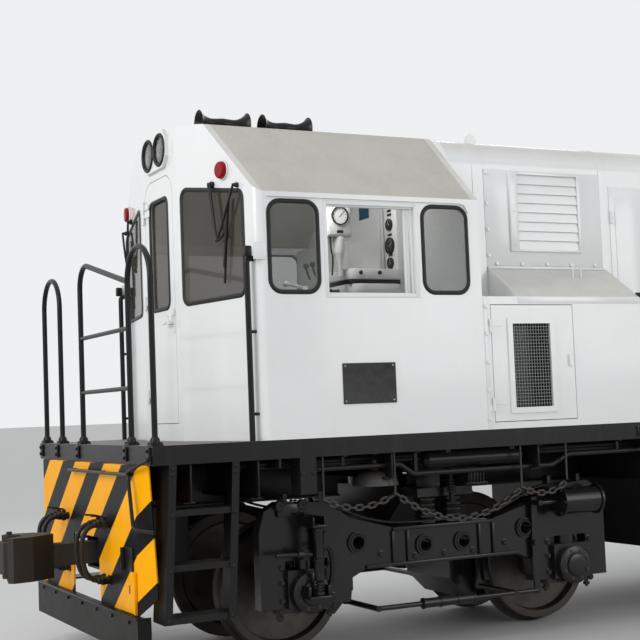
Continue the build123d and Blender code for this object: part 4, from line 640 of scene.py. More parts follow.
def rounded(corners, radius):
    """Closed outline with rounded corners, as points in its own plane."""
    steps = 6
    points = []
    for i, corner in enumerate(corners):
        corner = Vector(corner).to_3d()
        before = (Vector(corners[i - 1]).to_3d() - corner).normalized()
        after = (Vector(corners[(i + 1) % len(corners)]).to_3d() - corner).normalized()
        half = before.angle(after) / 2
        centre = corner + (before + after).normalized() * (radius / sin(half))
        start = corner + before * (radius / tan(half)) - centre
        end = corner + after * (radius / tan(half)) - centre
        points += [centre + start.slerp(end, k / steps) * radius for k in range(steps + 1)]
    return points


def bead(name, outline, place, width, proud):
    """Rounded strip along a closed outline, flattened to how far it stands proud."""
    piece = curve(name, "POLY", outline, dimensions="3D", bevel_depth=width / 2, bevel_resolution=2)
    piece.data.splines[0].use_cyclic_u = True
    return outward(moved(meshed(piece), place @ Matrix.Diagonal((1, 1, proud / (width / 2), 1))))


def ribbon(name, outline, place, width, thickness):
    """Flat strip bent along an open outline, as thick as a sheet."""
    flat = [(across, up, 0.0) for across, up in outline]
    piece = moved(meshed(curve(name, "POLY", flat, dimensions="2D", extrude=width / 2)), place)
    return outward(modify(piece, "SOLIDIFY", thickness=thickness, offset=0))


def axes(across, up, out):
    """Turn from (across, up, outward) to the locomotive."""
    return Matrix((across, up, out)).transposed().to_4x4()


FACING_AHEAD = axes((0, 1, 0), (0, 0, 1), (1, 0, 0))


def facet(side):
    """Matrix from (across, up, outward) on a front facet of the cab to the locomotive."""
    run, rise = CAB_CORNER_X - CAB_NOSE_X, SIDE_Y - NOSE_HALF_Y
    length = hypot(run, rise)
    across = (run / length, rise / length * side, 0)
    out = (rise / length, -run / length * side, 0)
    return Matrix.Translation((CAB_NOSE_X, NOSE_HALF_Y * side, 0)) @ axes(across, (0, 0, 1), out)


def side_wall(side):
    """Matrix from (along, up, outward) on a cab side to the locomotive."""
    return Matrix.Translation((0, SIDE_Y * side, 0)) @ axes((1, 0, 0), (0, 0, 1), (0, side, 0))


def hex_bolt(radius, height):
    """Hexagon head on a washer, its crown chamfered."""
    head = turned("bolt", [(radius, height * 0.22), (radius, height * 0.85), (radius * 0.86, height)], 6)
    washer = turned("washer", [(radius * 1.28, 0.0), (radius * 1.28, height * 0.2), (radius * 1.2, height * 0.24)],
                    14)
    return join("bolt", [head, washer])


def round_rivet(radius):
    """Domed rivet head."""
    return turned("rivet", [(radius, 0.0), (radius * 0.92, radius * 0.3), (radius * 0.66, radius * 0.58),
                            (radius * 0.3, radius * 0.74)], 10)


def colour(name, description, default):
    """Colour setting."""
    return bpy.props.FloatVectorProperty(name=name, description=description, subtype="COLOR", size=3,
                                         default=default)


def number(name, description, default, low, high, **kind):
    """Number setting between two limits, with its unit or subtype."""
    return bpy.props.FloatProperty(name=name, description=description, default=default, min=low, max=high, **kind)


class BodyColours(bpy.types.PropertyGroup):
    body: colour("Body", "Gloss paint of cab and hoods", (0.80, 0.81, 0.81))
    roof: colour("Roof", "Gritted roof paint", (0.52, 0.50, 0.455))
    # On the white paints this colour also lies on top faces as painted shade
    grit: colour("Grit", "Pale dirt on ledges and lids of the white body", (0.46, 0.435, 0.38))
    frame_black: colour("Frame black", "Paint of frame and bogies", (0.009, 0.009, 0.0095))
    stripe: colour("Stripe", "Bars on the end plates", (1.0, 0.43, 0.002))
    dust: colour("Dust", "Road dust on ledges and frames", (0.085, 0.073, 0.060))
    stripe_pitch: number("Stripe pitch", "Pitch of the bars across the plate", 0.70, 0.1, 2.0, unit="LENGTH")
    stripe_start: number("Stripe start", "Where the first bar begins, from the middle", 0.005, -1.0, 1.0,
                         unit="LENGTH")
    stripe_share: number("Stripe share", "Bright part of the pitch", 0.54, 0.1, 0.9, subtype="FACTOR")
    stripe_slope: number("Stripe slope", "Rise of a bar over its run", 0.75, 0.3, 3.0)


class FastenerSizes(bpy.types.PropertyGroup):
    body_bolt: number("Body bolt", "Half width of the hood's bolt heads", 0.014, 0.004, 0.04, unit="LENGTH")
    frame_bolt: number("Frame bolt", "Half width of the bogie's bolt heads", 0.020, 0.006, 0.05, unit="LENGTH")
    rivet: number("Rivet", "Radius of the small rivet heads", 0.007, 0.003, 0.02, unit="LENGTH")


class StageLight(bpy.types.PropertyGroup):
    focal_length: number("Focal length", "Lens on a 36 mm sensor", 73.18, 10.0, 300.0)
    floor: colour("Floor", "Plain floor", (0.62, 0.62, 0.61))
    sky: number("Room light", "Even light from all round", 0.75, 0.0, 5.0)
    key: number("Window light", "Large soft light over the cab end", 420.0, 0.0, 5000.0)


class LOCO_OT_finishes(bpy.types.Operator):
    """Give every modelled part its procedural finish"""
    bl_idname = "loco.finishes"
    bl_label = "Finishes"

    def execute(self, context):
        build_finishes(context.scene.loco_colours)
        slots = {entry["node"]: entry["material_slot"] for entry in frame["record"]["subparts"]}
        for name, part in frame["nodes"].items():
            part.data.materials.clear()
            part.data.materials.append(finishes[special_finish.get(name, slots[name])])
        return {"FINISHED"}


class LOCO_OT_end_fasteners(bpy.types.Operator):
    """Feet, clamps, flanges and bolts of handrails, steps and end plates"""
    bl_idname = "loco.end_fasteners"
    bl_label = "End fasteners"

    def hoop_feet(self, end):
        """Deck feet of the end handrails, and their clamps on the face of the buffer beam."""
        feet = []
        heads = []
        x = HOOP_X * end
        for y in (1.300, 0.840, -0.840, -1.300, -0.270 * end):
            feet.append(bar("foot", (x - 0.040, y - 0.048, DECK_Z), (x + 0.036, y + 0.048, FOOT_TOP_Z)))
            feet.append(stand(turned("boss", [(0.032, 0.0), (0.032, 0.030), (0.022, 0.046)], 20),
                              (x, y, DECK_Z + 0.008)))
            feet.append(bar("clamp", (BEAM_FACE_X * end, y - 0.032, 1.425),
                            (CLAMP_FACE_X * end, y + 0.032, 1.520), 0.003))
            heads += crossings([CLAMP_FACE_X * end], [y], (1.447, 1.497), (end, 0, 0), 0.3)
            heads += crossings((x - 0.026, x + 0.024), (y - 0.034, y + 0.034), [FOOT_TOP_Z], (0, 0, 1), 0.3)
        return feet, heads

    def side_feet(self, x, side):
        """Foot, boss and ball of one side handrail post."""
        y = SIDE_POST_Y * side
        heads = crossings((x - 0.032, x + 0.032), [y], [DECK_Z + 0.009], (0, 0, 1), 0.2)
        boss = turned("boss", [(0.030, 0.0), (0.030, 0.022), (0.021, 0.038)], 18)
        ball = turned("ball", [(0.012, -0.028), (0.024, -0.018), (0.029, 0.0), (0.024, 0.018), (0.012, 0.026)], 18)
        return [bar("foot", (x - 0.045, y - 0.026, DECK_Z), (x + 0.045, y + 0.026, DECK_Z + 0.009)),
                stand(boss, (x, y, DECK_Z + 0.007)), stand(ball, (x, y, POST_BALL_Z))], heads

    def end_plate(self, end):
        """Uncoupling lever's stay, post, ledge of the pilot channel, and the bolts of plate and steps."""
        feet = tubes([("stay", 0.010, [(5.440, 1.060, 1.352), (5.432, 1.150, 1.385), (5.375, 1.325, 1.440)])],
                     end, end)
        feet += bars([("stay_foot", (BEAM_FACE_X, 1.290, 1.412), (5.374, 1.350, 1.470), 0.003),
                      ("post", (PLATE_FACE_X, 0.905, 0.740), (5.440, 0.917, 0.885), 0.003),
                      ("post", (PLATE_FACE_X, 0.905, 0.740), (5.412, 1.060, 0.885), 0.003),
                      ("ledge", (5.432, -1.215, 0.456), (5.446, 1.215, 0.470), 0.003)], end, end)
        heads = [((5.374 * end, 1.335 * end, 1.455), (end, 0, 0), 0.2)]
        heads += [((5.440 * end, -1.05 + 0.35 * i, 0.430), (end, 0, 0), 0.4) for i in range(7)]
        # Bolts through the leaning stiles of the steps, and at a rib under each tread
        for side in (-1, 1):
            for z in (1.380, 1.345, 1.092, 0.755, 0.455):
                lean = STEP_LEAN * (SILL_FOOT_Z - z) / (SILL_FOOT_Z - STEP_FOOT_Z)
                heads += crossings(((4.810 + lean) * end, (5.232 + lean) * end), [SIDE_Y * side], [z],
                                   (0, side, 0), 0.5)
        return feet, heads

    def doubler(self, end):
        """Doubler plate at the foot of an end plate, with its flange."""
        deselect()
        bpy.ops.mesh.primitive_circle_add(vertices=5, radius=1.0, fill_type="NGON", location=(0, 0, 0))
        piece = bpy.context.active_object
        piece.name = "doubler"
        corners = ((0.790, 0.476), (1.118, 0.476), (1.118, 0.738), (1.034, 0.738), (0.925, 0.672))
        for vertex, (y, z) in zip(piece.data.vertices, corners):
            vertex.co = (5.4015 * end, y * end, z)
        bpy.ops.object.mode_set(mode="EDIT")
        bpy.ops.mesh.select_all(action="SELECT")
        bpy.ops.mesh.extrude_region_move(TRANSFORM_OT_translate={"value": (0.009 * end, 0, 0)})
        bpy.ops.object.mode_set(mode="OBJECT")
        return [bevel(outward(piece), 0.002),
                bar("flange", (5.404 * end, 1.100 * end, 0.476), (5.422 * end, 1.119 * end, 0.738), 0.003)]

    def execute(self, context):
        bolt = hex_bolt(context.scene.loco_fasteners.body_bolt * 0.8, 0.012)
        groups = [self.hoop_feet(end) for end in (-1, 1)]
        groups += [self.side_feet(x, side) for x in (-4.6, -3.6, -2.6, -1.6, -0.6, 0.4, 1.4) for side in (-1, 1)]
        groups += [self.end_plate(end) for end in (-1, 1)]
        feet = [piece for pieces, heads in groups for piece in pieces]
        # Clips that tie the corner grab rails to the cab
        for side in (-1, 1):
            feet += bars([("clip", (4.600, 1.318, z - 0.010), (4.676, 1.332, z + 0.010), 0.003)
                          for z in (1.700, 2.230)], side)
        assemble("rail_feet", feet, "black_paint")
        dress(scatter(bolt, "end_bolts", [head for pieces, heads in groups for head in heads]), "black_paint")
        discard(bolt)
        assemble("plate_doublers", self.doubler(-1) + self.doubler(1), "plain_yellow", slot="stripe_paint")
        # Slots in the doublers are thin black patches on the face, not cut through: painted shade of the openings
        slots = [bar("slot", (5.4105 * end, 0.985 * end, 0.596), (5.4118 * end, 1.003 * end, 0.650), 0.0006)
                 for end in (-1, 1)]
        assemble("doubler_slot_shade", slots, "rubber")
        return {"FINISHED"}


class LOCO_OT_hood_fasteners(bpy.types.Operator):
    """Side sheets, bolt rows, louvres, door panels, latches, hinges and lifting eyes of the hoods"""
    bl_idname = "loco.hood_fasteners"
    bl_label = "Hood fasteners"

    def louvre_panel(self, side, outer, inner, count):
        """Raised frame round slats that lie nearly flush, each lapped over the one below it."""
        rear, front, low, high = outer
        back, ahead, foot, head = inner
        parts = bars([("frame", (x0, HOOD_Y, z0), (x1, HOOD_Y + FRAME_PROUD, z1), 0.003) for x0, x1, z0, z1 in
                      ((rear, back, low, high), (ahead, front, low, high), (back, ahead, low, foot),
                       (back, ahead, head, high))], side)
        pitch = (head - foot) / count
        for i in range(count):
            slat = bar("slat", (back, -0.0015 * side, -pitch - 0.002), (ahead, 0.0015 * side, 0.0), 0.001, 1)
            parts.append(moved(slat, Matrix.Translation((0, (HOOD_Y + 0.003) * side, head - i * pitch))
                               @ Matrix.Rotation(radians(8.5) * side, 4, "X")))
        return parts

    def lids_and_sheets(self, side):
        """Side sheet of the equipment hood, lid lip and loop, flange band and the seam beside the cab."""
        return bars([("sheet", (1.530, HOOD_Y, 2.727), (SHEET_FRONT_X, HOOD_Y + 0.004, 3.448), 0.0015),
                     ("lip", (1.520, HOOD_Y, 2.703), (SHEET_FRONT_X, HOOD_Y + 0.016, 2.721), 0.004),
                     ("band", (1.510, SIDE_Y, 2.414), (SHEET_FRONT_X, SIDE_Y + 0.004, 2.458), 0.002),
                     ("seam", (2.868, SIDE_Y, 1.540), (2.898, SIDE_Y + 0.005, 2.455), 0.002)], side) + tubes(
            [("loop", 0.007, [(1.910, 1.118, 2.620), (1.910, 1.116, 2.700), (1.905, 1.112, 2.728),
                              (1.840, 1.112, 2.728), (1.835, 1.116, 2.700), (1.835, 1.118, 2.620)])], side)

    def door_row(self, side):
        """Door panels with a pressed field and two hinge barrels each, and their latches apart."""
        panels = []
        latches = []
        for i in range(9):
            front = 1.44 - 0.462 * i
            rear = front - 0.44
            if front > -0.05 and rear < 0.45:  # the modelled doors that open stand here
                continue
            panels += bars([("panel", (rear, HOOD_Y, 1.62), (front, HOOD_Y + 0.005, 3.36), 0.004),
                            ("field", (rear + 0.05, HOOD_Y, 1.70), (front - 0.05, HOOD_Y + 0.011, 3.28), 0.005)],
                           side)
            for z in (1.85, 3.12):
                barrel = turned("barrel", [(0.008, -0.05), (0.011, -0.048), (0.011, 0.048), (0.008, 0.05)], 12)
                panels.append(stand(barrel, (front - 0.012, (HOOD_Y + 0.012) * side, z)))
            latches += bars([("latch", (rear + 0.018, HOOD_Y + 0.004, 2.40),
                              (rear + 0.040, HOOD_Y + FRAME_PROUD, 2.50), 0.004)], side)
        return panels, latches

    def seams(self):
        """Bands over the joints between the hood sections, bent over the shoulders, and lifting eyes."""
        radius = 0.22
        arc = [(HOOD_Y - radius + (radius + 0.0025) * cos(radians(a)),
                HOOD_TOP_Z - radius + (radius + 0.0025) * sin(radians(a))) for a in range(0, 91, 9)]
        half = [(HOOD_Y + 0.0025, 1.54)] + arc
        across = half + [(-y, z) for y, z in reversed(half)]
        upper = [(y, max(z, 2.480)) for y, z in across]
        seams = [ribbon("seam", outline, Matrix.Translation((x, 0, 0)) @ FACING_AHEAD, width, 0.005)
                 for x, outline, width in ((1.500, across, 0.06), (-2.700, across, 0.06), (2.652, upper, 0.088))]
        for x in (2.5, -0.2, -1.9, -4.4):
            for side in (-1, 1):
                eye = turned("eye", [(0.045, -0.010), (0.050, -0.006), (0.050, 0.006), (0.045, 0.010)], 24)
                seams.append(stand(eye, (x, 0.70 * side, HOOD_TOP_Z + 0.046), (0, 1, 0)))
                seams += bars([("eye_foot", (x - 0.05, 0.67, HOOD_TOP_Z), (x + 0.05, 0.73, HOOD_TOP_Z + 0.012),
                                0.002)], side)
        return seams

    def execute(self, context):
        sizes = context.scene.loco_fasteners
        bolt = hex_bolt(sizes.body_bolt, 0.012)
        rivet = round_rivet(sizes.rivet)
        heads = []
        small = []
        panels = []
        louvres = []
        latches = []
        for side in (-1, 1):
            out = (0, side, 0)
            sheet, frame_face = (HOOD_Y + 0.004) * side, (HOOD_Y + FRAME_PROUD) * side
            panels += self.lids_and_sheets(side)
            heads += crossings([2.582], [sheet], (3.423, 3.190, 2.996, 2.802), out, 0.2)
            heads += crossings((2.516, 2.290, 2.060, 1.836, 1.610), [sheet], [2.743], out, 0.4)
            heads += crossings([2.884], [(SIDE_Y + 0.005) * side], (1.600, 1.800, 2.000, 2.200, 2.390), out, 0.3)
            louvres += self.louvre_panel(side, (1.725, 2.387, 2.835, 3.438), (1.757, 2.312, 2.850, 3.418), 8)
            louvres += self.louvre_panel(side, (-4.450, -3.000, 1.900, 3.300), (-4.422, -3.028, 1.928, 3.272), 16)
            small += crossings((2.350, 1.741), [frame_face], (3.399, 3.138, 2.880), out, 0.0)
            small += crossings([-4.436 + 1.422 * i / 7 for i in range(8)], [frame_face], (1.914, 3.286), out, 0.0)
            small += crossings((-4.436, -3.014), [frame_face], [1.914 + 1.372 * i / 7 for i in range(1, 7)], out, 0.0)
            doors, door_latches = self.door_row(side)
            panels += doors
            latches += door_latches
        louvre_panels = assemble("louvre_panels", louvres, "white_paint")
        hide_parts("louvres")
        dress(scatter(bolt, "hood_bolts", heads), "white_paint")
        dress(scatter(rivet, "louvre_rivets", small), "white_paint")
        assemble("hood_doors", panels, "white_paint")
        assemble("hood_latches", latches, "black_paint")
        assemble("hood_seams", self.seams(), "white_paint")
        discard(bolt, rivet)
        return {"FINISHED"}


class LOCO_OT_side_plates(bpy.types.Operator):
    """Blank builder's plates on the cab sides"""
    bl_idname = "loco.side_plates"
    bl_label = "Blank side plates"

    def execute(self, context):
        rivet = round_rivet(context.scene.loco_fasteners.rivet)
        parts = []
        heads = []
        for side in (-1, 1):
            plate = block("plate", (3.627, SIDE_Y * side, 1.741), (4.029, (SIDE_Y + 0.006) * side, 2.012))
            bpy.ops.object.mode_set(mode="EDIT")
            bpy.ops.mesh.select_all(action="DESELECT")
            bpy.ops.object.mode_set(mode="OBJECT")
            for face in plate.data.polygons:
                face.select = face.normal.y * side > 0.9
            bpy.ops.object.mode_set(mode="EDIT")
            bpy.ops.mesh.inset(thickness=0.012)
            bpy.ops.transform.translate(value=(0, -0.003 * side, 0))
            bpy.ops.object.mode_set(mode="OBJECT")
            parts.append(bevel(plate, 0.0012))
            heads += crossings((3.646, 4.010), [(SIDE_Y + 0.003) * side], (1.760, 1.993), (0, side, 0), 0.0)
        assemble("blank_plates", parts, "plate_black", slot="black_paint")
        dress(scatter(rivet, "plate_screws", heads), "bright_steel", slot="wheel_steel")
        discard(rivet)
        return {"FINISHED"}


class LOCO_OT_headlamps(bpy.types.Operator):
    """Sealed-beam headlamps: rubber seat, bezel kept near black as painted shade, reflector bowl in dark metal as
    painted reflection, with its bulb, and fluted lens
    """
    bl_idname = "loco.headlamps"
    bl_label = "Headlamps"

    def execute(self, context):
        rims = []
        bowls = []
        lenses = []
        gaskets = []
        for x, facing, z in ((CAB_NOSE_X, 1, 3.642), (-4.700, -1, 3.452)):
            out = (facing, 0, 0)
            for y in (-0.125, 0.125):
                bowl = turned("bowl", [(0.106, 0.000), (0.106, 0.016), (0.098, 0.0165), (0.086, 0.010),
                                       (0.062, 0.005), (0.030, 0.003), (0.014, 0.003), (0.013, 0.014),
                                       (0.008, 0.0165)], 48)
                bowls.append(stand(bowl, (x, y, z), out))
                lens = turned("lens", [(0.098, 0.0166), (0.099, 0.0185), (0.088, 0.0215), (0.060, 0.0245),
                                       (0.028, 0.0262), (0.006, 0.0266)], 48)
                lenses.append(stand(lens, (x, y, z), out))
                rims.append(ring(0.1025, 0.0055, (x + facing * 0.0265, y, z), out))
                gaskets.append(ring(0.1115, 0.0125, (x + facing * 0.0255, y, z), out))
        bowls = assemble("lamp_bowls", bowls, "reflector", slot="lamp_glass")
        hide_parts("headlamps")
        assemble("lamp_lenses", lenses, "lamp_glass")
        # Bezel rims near black: painted shade of the ring round each lens
        assemble("lamp_rims_painted_shade", rims, "mesh_steel")
        assemble("lamp_gaskets", gaskets, "rubber")
        return {"FINISHED"}


class LOCO_OT_cab_trim(bpy.types.Operator):
    """Window rubbers, sliding window frames, wipers, marker rims, stanchion clamps and the front door's latch"""
    bl_idname = "loco.cab_trim"
    bl_label = "Cab trim"

    def wiper(self, side):
        """Motor spindle and idler over a windshield, two arms that meet, and the blade they carry."""
        place = facet(side)
        parts = []
        for across, up, radius in ((0.488, 3.262, 0.022), (0.792, 3.212, 0.017)):
            spindle = turned("spindle", [(radius, 0.0), (radius, 0.018), (radius * 0.6, 0.022),
                                         (radius * 0.6, 0.040), (radius * 0.3, 0.044)], 20)
            parts.append(stand(spindle, place @ Vector((across, up, 0.0)), place.col[2].to_3d()))
        runs = [("arm", 0.0090, [(0.480, 3.262, 0.034), (0.500, 3.20, 0.036), (0.528, 3.05, 0.036),
                                 (0.556, 2.90, 0.034), (0.590, 2.868, 0.030)]),
                ("arm", 0.0070, [(0.500, 3.262, 0.034), (0.516, 3.20, 0.036), (0.540, 3.05, 0.036),
                                 (0.560, 2.92, 0.034)]),
                ("arm", 0.0085, [(0.792, 3.212, 0.036), (0.780, 3.19, 0.038), (0.690, 3.04, 0.038),
                                 (0.600, 2.90, 0.034), (0.556, 2.868, 0.032)]),
                ("carrier", 0.0090, [(0.556, 2.868, 0.033), (0.580, 2.862, 0.030), (0.640, 2.90, 0.026)])]
        for start, end, radius, lift in (((0.706, 3.135), (0.628, 2.575), 0.0085, 0.019),
                                         ((0.690, 3.02), (0.640, 2.68), 0.0115, 0.024)):
            middle = ((start[0] + end[0]) / 2, (start[1] + end[1]) / 2, lift + 0.003)
            runs.append(("blade", radius, [(*start, lift), middle, (*end, lift)]))
        return parts + [tube(name, [place @ Vector(point) for point in points], radius)
                        for name, radius, points in runs]

    def window_frame(self, side):
        """Trim round a sliding window's opening, its tracks, and both sashes slid back behind the rear jamb."""
        rear, front, low, high = 3.426, 4.109, 2.470, 3.078
        out, lap = 0.020, 0.006
        rows = [("trim", (x0, SIDE_Y + 0.005, z0), (x1, SIDE_Y - 0.050, z1), 0.003) for x0, x1, z0, z1 in
                ((rear - out, rear + lap, low - out, high + out), (front - lap, front + out, low - out, high + out),
                 (rear + lap, front - lap, high - lap, high + out), (rear + lap, front - lap, low - out, low + lap))]
        rows += [("stile", (rear + x0, SIDE_Y - depth, low + 0.008),
                  (rear + x1, SIDE_Y - depth - 0.012, high - 0.008), 0.002)
                 for depth, x0, x1 in ((0.018, 0.006, 0.028), (0.034, 0.034, 0.056), (0.026, 0.062, 0.078))]
        tracks = [bar("track", (rear, (SIDE_Y - depth) * side, z0), (front, (SIDE_Y - depth - 0.003) * side, z1),
                      0.0008, 1)
                  for depth in (0.014, 0.030, 0.046)
                  for z0, z1 in ((high - 0.016, high - lap), (low + lap, low + 0.014))]
        return bars(rows, side) + tracks

    def execute(self, context):
        trim = []
        beads = []
        shield = [(0.061, 2.481), (0.845, 2.481), (0.845, 3.166), (0.061, 3.297)]
        for side in (-1, 1):
            place = facet(side)
            trim.append(ring(0.061, 0.006, place @ Vector((0.6228, 3.339, 0.006)), place.col[2].to_3d(), 48, 8))
            beads.append(bead("rubber", rounded(shield, 0.062), place, 0.032, RUBBER_PROUD))
            for rear, front in ((4.173, 4.528), (3.009, 3.367)):
                pane = [(rear, 2.485), (front, 2.485), (front, 3.084), (rear, 3.084)]
                beads.append(bead("rubber", rounded(pane, 0.082), side_wall(side), 0.031, RUBBER_PROUD))
        window_rubbers = assemble("window_beads", beads, "rubber", angle=60)
        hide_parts("window_rubbers")
        pane = [(-0.194, 2.484), (0.194, 2.484), (0.194, 3.289), (-0.194, 3.289)]
        door_face = Matrix.Translation((CAB_NOSE_X, 0, 0)) @ FACING_AHEAD
        dress(bead("door_bead", rounded(pane, 0.062), door_face, 0.030, 0.008), "rubber", "cab_door", angle=60)

        window_frames = assemble("window_frames", self.window_frame(-1) + self.window_frame(1), "white_trim")
        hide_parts("sliding_windows")
        wipers = assemble("windshield_wipers", self.wiper(-1) + self.wiper(1), "rubber", angle=50)
        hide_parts("wipers")

        # Bracket plate and clamp that hold the corner stanchion to the cab
        clamps = []
        for side in (-1, 1):
            trim += bars([("stay_plate", (4.552, SIDE_Y, 2.696), (4.645, SIDE_Y + 0.005, 2.806), 0.002)], side)
            clamps.append(bar("clamp", (4.652, (SIDE_Y - 0.040) * side, 2.712),
                              (4.700, (SIDE_Y + 0.006) * side, 2.784), 0.010, 3))
        # Latch box, its lever and the strap hinges of the front door
        latch = bars([("latch", (CAB_NOSE_X, 0.205, 2.345), (LATCH_FACE_X, 0.262, 2.470), 0.004),
                      ("latch", (CAB_NOSE_X, 0.150, 2.420), (4.806, 0.290, 2.462), 0.003)], 1)
        latch.append(tube("lever", [(LATCH_FACE_X, 0.232, 2.380), (4.832, 0.232, 2.378),
                                    (4.834, 0.200, 2.372), (4.834, 0.150, 2.366)], 0.007))
        for z in (1.860, 2.560, 3.280):
            latch.append(bar("strap", (CAB_NOSE_X, -0.300, z - 0.022), (4.799, -0.215, z + 0.022), 0.003))
            latch.append(tube("pin", [(4.806, -0.298, z + rise) for rise in (-0.045, 0.0, 0.045)], 0.010))
        assemble("door_latch", latch, "white_trim", body="cab_door")
        assemble("stanchion_clamps", clamps, "black_paint")
        assemble("cab_trim", trim, "white_trim")
        return {"FINISHED"}


class LOCO_OT_cab_interior(bpy.types.Operator):
    """Gauge column, speed recorder, driver's desk, ceiling lamp and levers seen through the cab windows"""
    bl_idname = "loco.cab_interior"
    bl_label = "Cab interior"

    def dial(self, centre, radius, facing, turn):
        """Gauge with its ticks and needle: (bezel, face, marks), modelled about Z and stood up."""
        bezel = turned("bezel", [(radius * 0.96, -0.006), (radius, 0.0), (radius, 0.014), (radius * 0.88, 0.016),
                                 (radius * 0.86, 0.006)], 36)
        face = turned("dial", [(radius * 0.85, 0.006), (radius * 0.85, 0.0072)], 36)
        marks = []
        for low, high, half, lift, angle in [(0.62, 0.80, 0.0014, 0.0076, 130 - 26 * i) for i in range(11)] + [
                (-0.2, 0.66, 0.0018, 0.009, turn)]:
            mark = bar("mark", (-half, radius * low, 0.0), (half, radius * high, 0.001), 0.0003, 1)
            marks.append(moved(mark, Matrix.Translation((0, 0, lift)) @ Matrix.Rotation(radians(angle), 4, "Z")))
        return [stand(piece, centre, facing) for piece in (bezel, face, join("marks", marks))]

    def desk(self, low, high, half):
        """Slab of the driver's desk with its upright corners rounded."""
        slab = block("desk", (3.250 - half, -0.100, low), (3.250 + half, 0.500, high))
        weights = slab.data.attributes.new("bevel_weight_edge", "FLOAT", "EDGE")
        for edge in slab.data.edges:
            a, b = (slab.data.vertices[i].co for i in edge.vertices)
            weights.data[edge.index].value = 1.0 if abs(a.z - b.z) > 0.01 else 0.0
        modify(slab, "BEVEL", width=0.09, segments=6, limit_method="WEIGHT")
        return bevel(slab, 0.008, 2, 50)

    def execute(self, context):
        black = []
        white = []
        # Column of gauges on the rear bulkhead, facing forward
        column = dress(bar("gauge_column", (2.955, 0.276, 2.400), (COLUMN_FACE_X, 0.470, 3.300), 0.008), "cab_grey")
        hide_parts("gauge_panel")
        for z, radius, turn in ((3.108, 0.046, 40), (2.945, 0.064, -50), (2.812, 0.042, 20), (2.700, 0.042, -10)):
            bezel, face, marks = self.dial((COLUMN_FACE_X, 0.368, z), radius, (1, 0, 0), turn)
            black += [bezel, face]
            white.append(marks)
        black += bars([("label", (COLUMN_FACE_X, 0.338, z - 0.009), (3.056, 0.398, z + 0.009), 0.001)
                       for z in (3.215, 3.185, 3.030, 2.875, 2.760)], 1)
        # Speed recorder on its bracket from the ceiling, with a round chart and a valve below it
        grey = [bar("recorder", (3.455, 0.380, 2.985), (3.660, 0.500, 3.240), 0.012, 3)]
        bezel, face, marks = self.dial((3.556, RECORDER_FACE_Y, 3.141), 0.070, (0, 1, 0), -48)
        black += [bezel, marks]
        white.append(face)
        valve = turned("valve", [(0.018, 0.0), (0.024, 0.110), (0.040, 0.170), (0.044, 0.180), (0.044, 0.290),
                                 (0.036, 0.300)], 24)
        grey.append(stand(valve, (3.546, 0.460, 2.690)))
        black.append(tube("valve_pipe", [(3.620, 0.470, 2.985), (3.622, 0.472, 2.900), (3.600, 0.472, 2.820),
                                         (3.618, 0.470, 2.700)], 0.007))
        # Driver's desk on the control stand: curved top, a near-black slab below it as painted shade, and a shelf
        # below
        grey += [self.desk(2.672, 2.752, 0.250), self.desk(2.560, 2.640, 0.235)]
        for x in (3.393, 3.231):
            knob = turned("knob", [(0.015, 0.0), (0.015, 0.010), (0.010, 0.018)], 16)
            black.append(stand(knob, (x, 0.499, 2.722), (0, 1, 0)))
        # The near-black slab between desk top and shelf is painted shade
        black += bars([("label", (3.530, RECORDER_FACE_Y, 3.012), (3.582, 0.511, 3.034), 0.001),
                       ("desk_shade", (3.040, -0.080, 2.640), (3.480, 0.480, 2.672), 0.004)], 1)
        grey += bars([("recorder_lid", (3.468, 0.498, 3.000), (3.647, RECORDER_FACE_Y, 3.226), 0.006),
                      ("bracket", (3.520, 0.400, 3.236), (3.590, 0.470, 3.700), 0.006),
                      ("desk_post", (3.100, -0.060, 2.420), (3.400, 0.330, 2.562), 0.010),
                      ("locker", (BULKHEAD_X, -1.250, 1.560), (3.080, -0.500, 3.100), 0.010),
                      ("locker_door", (3.079, -1.210, 1.620), (3.088, -0.540, 3.060), 0.004)], 1)
        grey += [tube("conduit", [(2.968, y, 1.560), (2.968, y, 2.400), (2.968, y, 3.660)], 0.012)
                 for y in (0.060, 0.100)]
        for y in (-0.300, -0.180, -0.050):
            black.append(tube("lever", [(3.420, y, 2.752), (3.450, y, 2.800), (3.455, y, 2.850)], 0.009))
            knob = turned("knob", [(0.010, -0.022), (0.020, -0.014), (0.024, 0.0), (0.019, 0.015), (0.008, 0.022)],
                          20)
            black.append(stand(knob, (3.455, y, 2.860)))
        dress(bar("blue_notice", (BULKHEAD_X, -0.297, 3.240), (2.956, -0.135, 3.346), 0.0006), "note_blue",
              slot="cab_grey")
        assemble("desk_and_recorder", grey, "cab_grey")
        assemble("dials_and_knobs", black, "dial_face", slot="black_paint")
        assemble("dial_marks", white, "dial_white", slot="white_trim")
        lamp = bar("ceiling_lamp", (3.300, -0.090, 3.690), (4.200, 0.090, 3.716), 0.010, 3)
        dress(lamp, "ceiling_lamp", slot="white_trim")
        return {"FINISHED"}


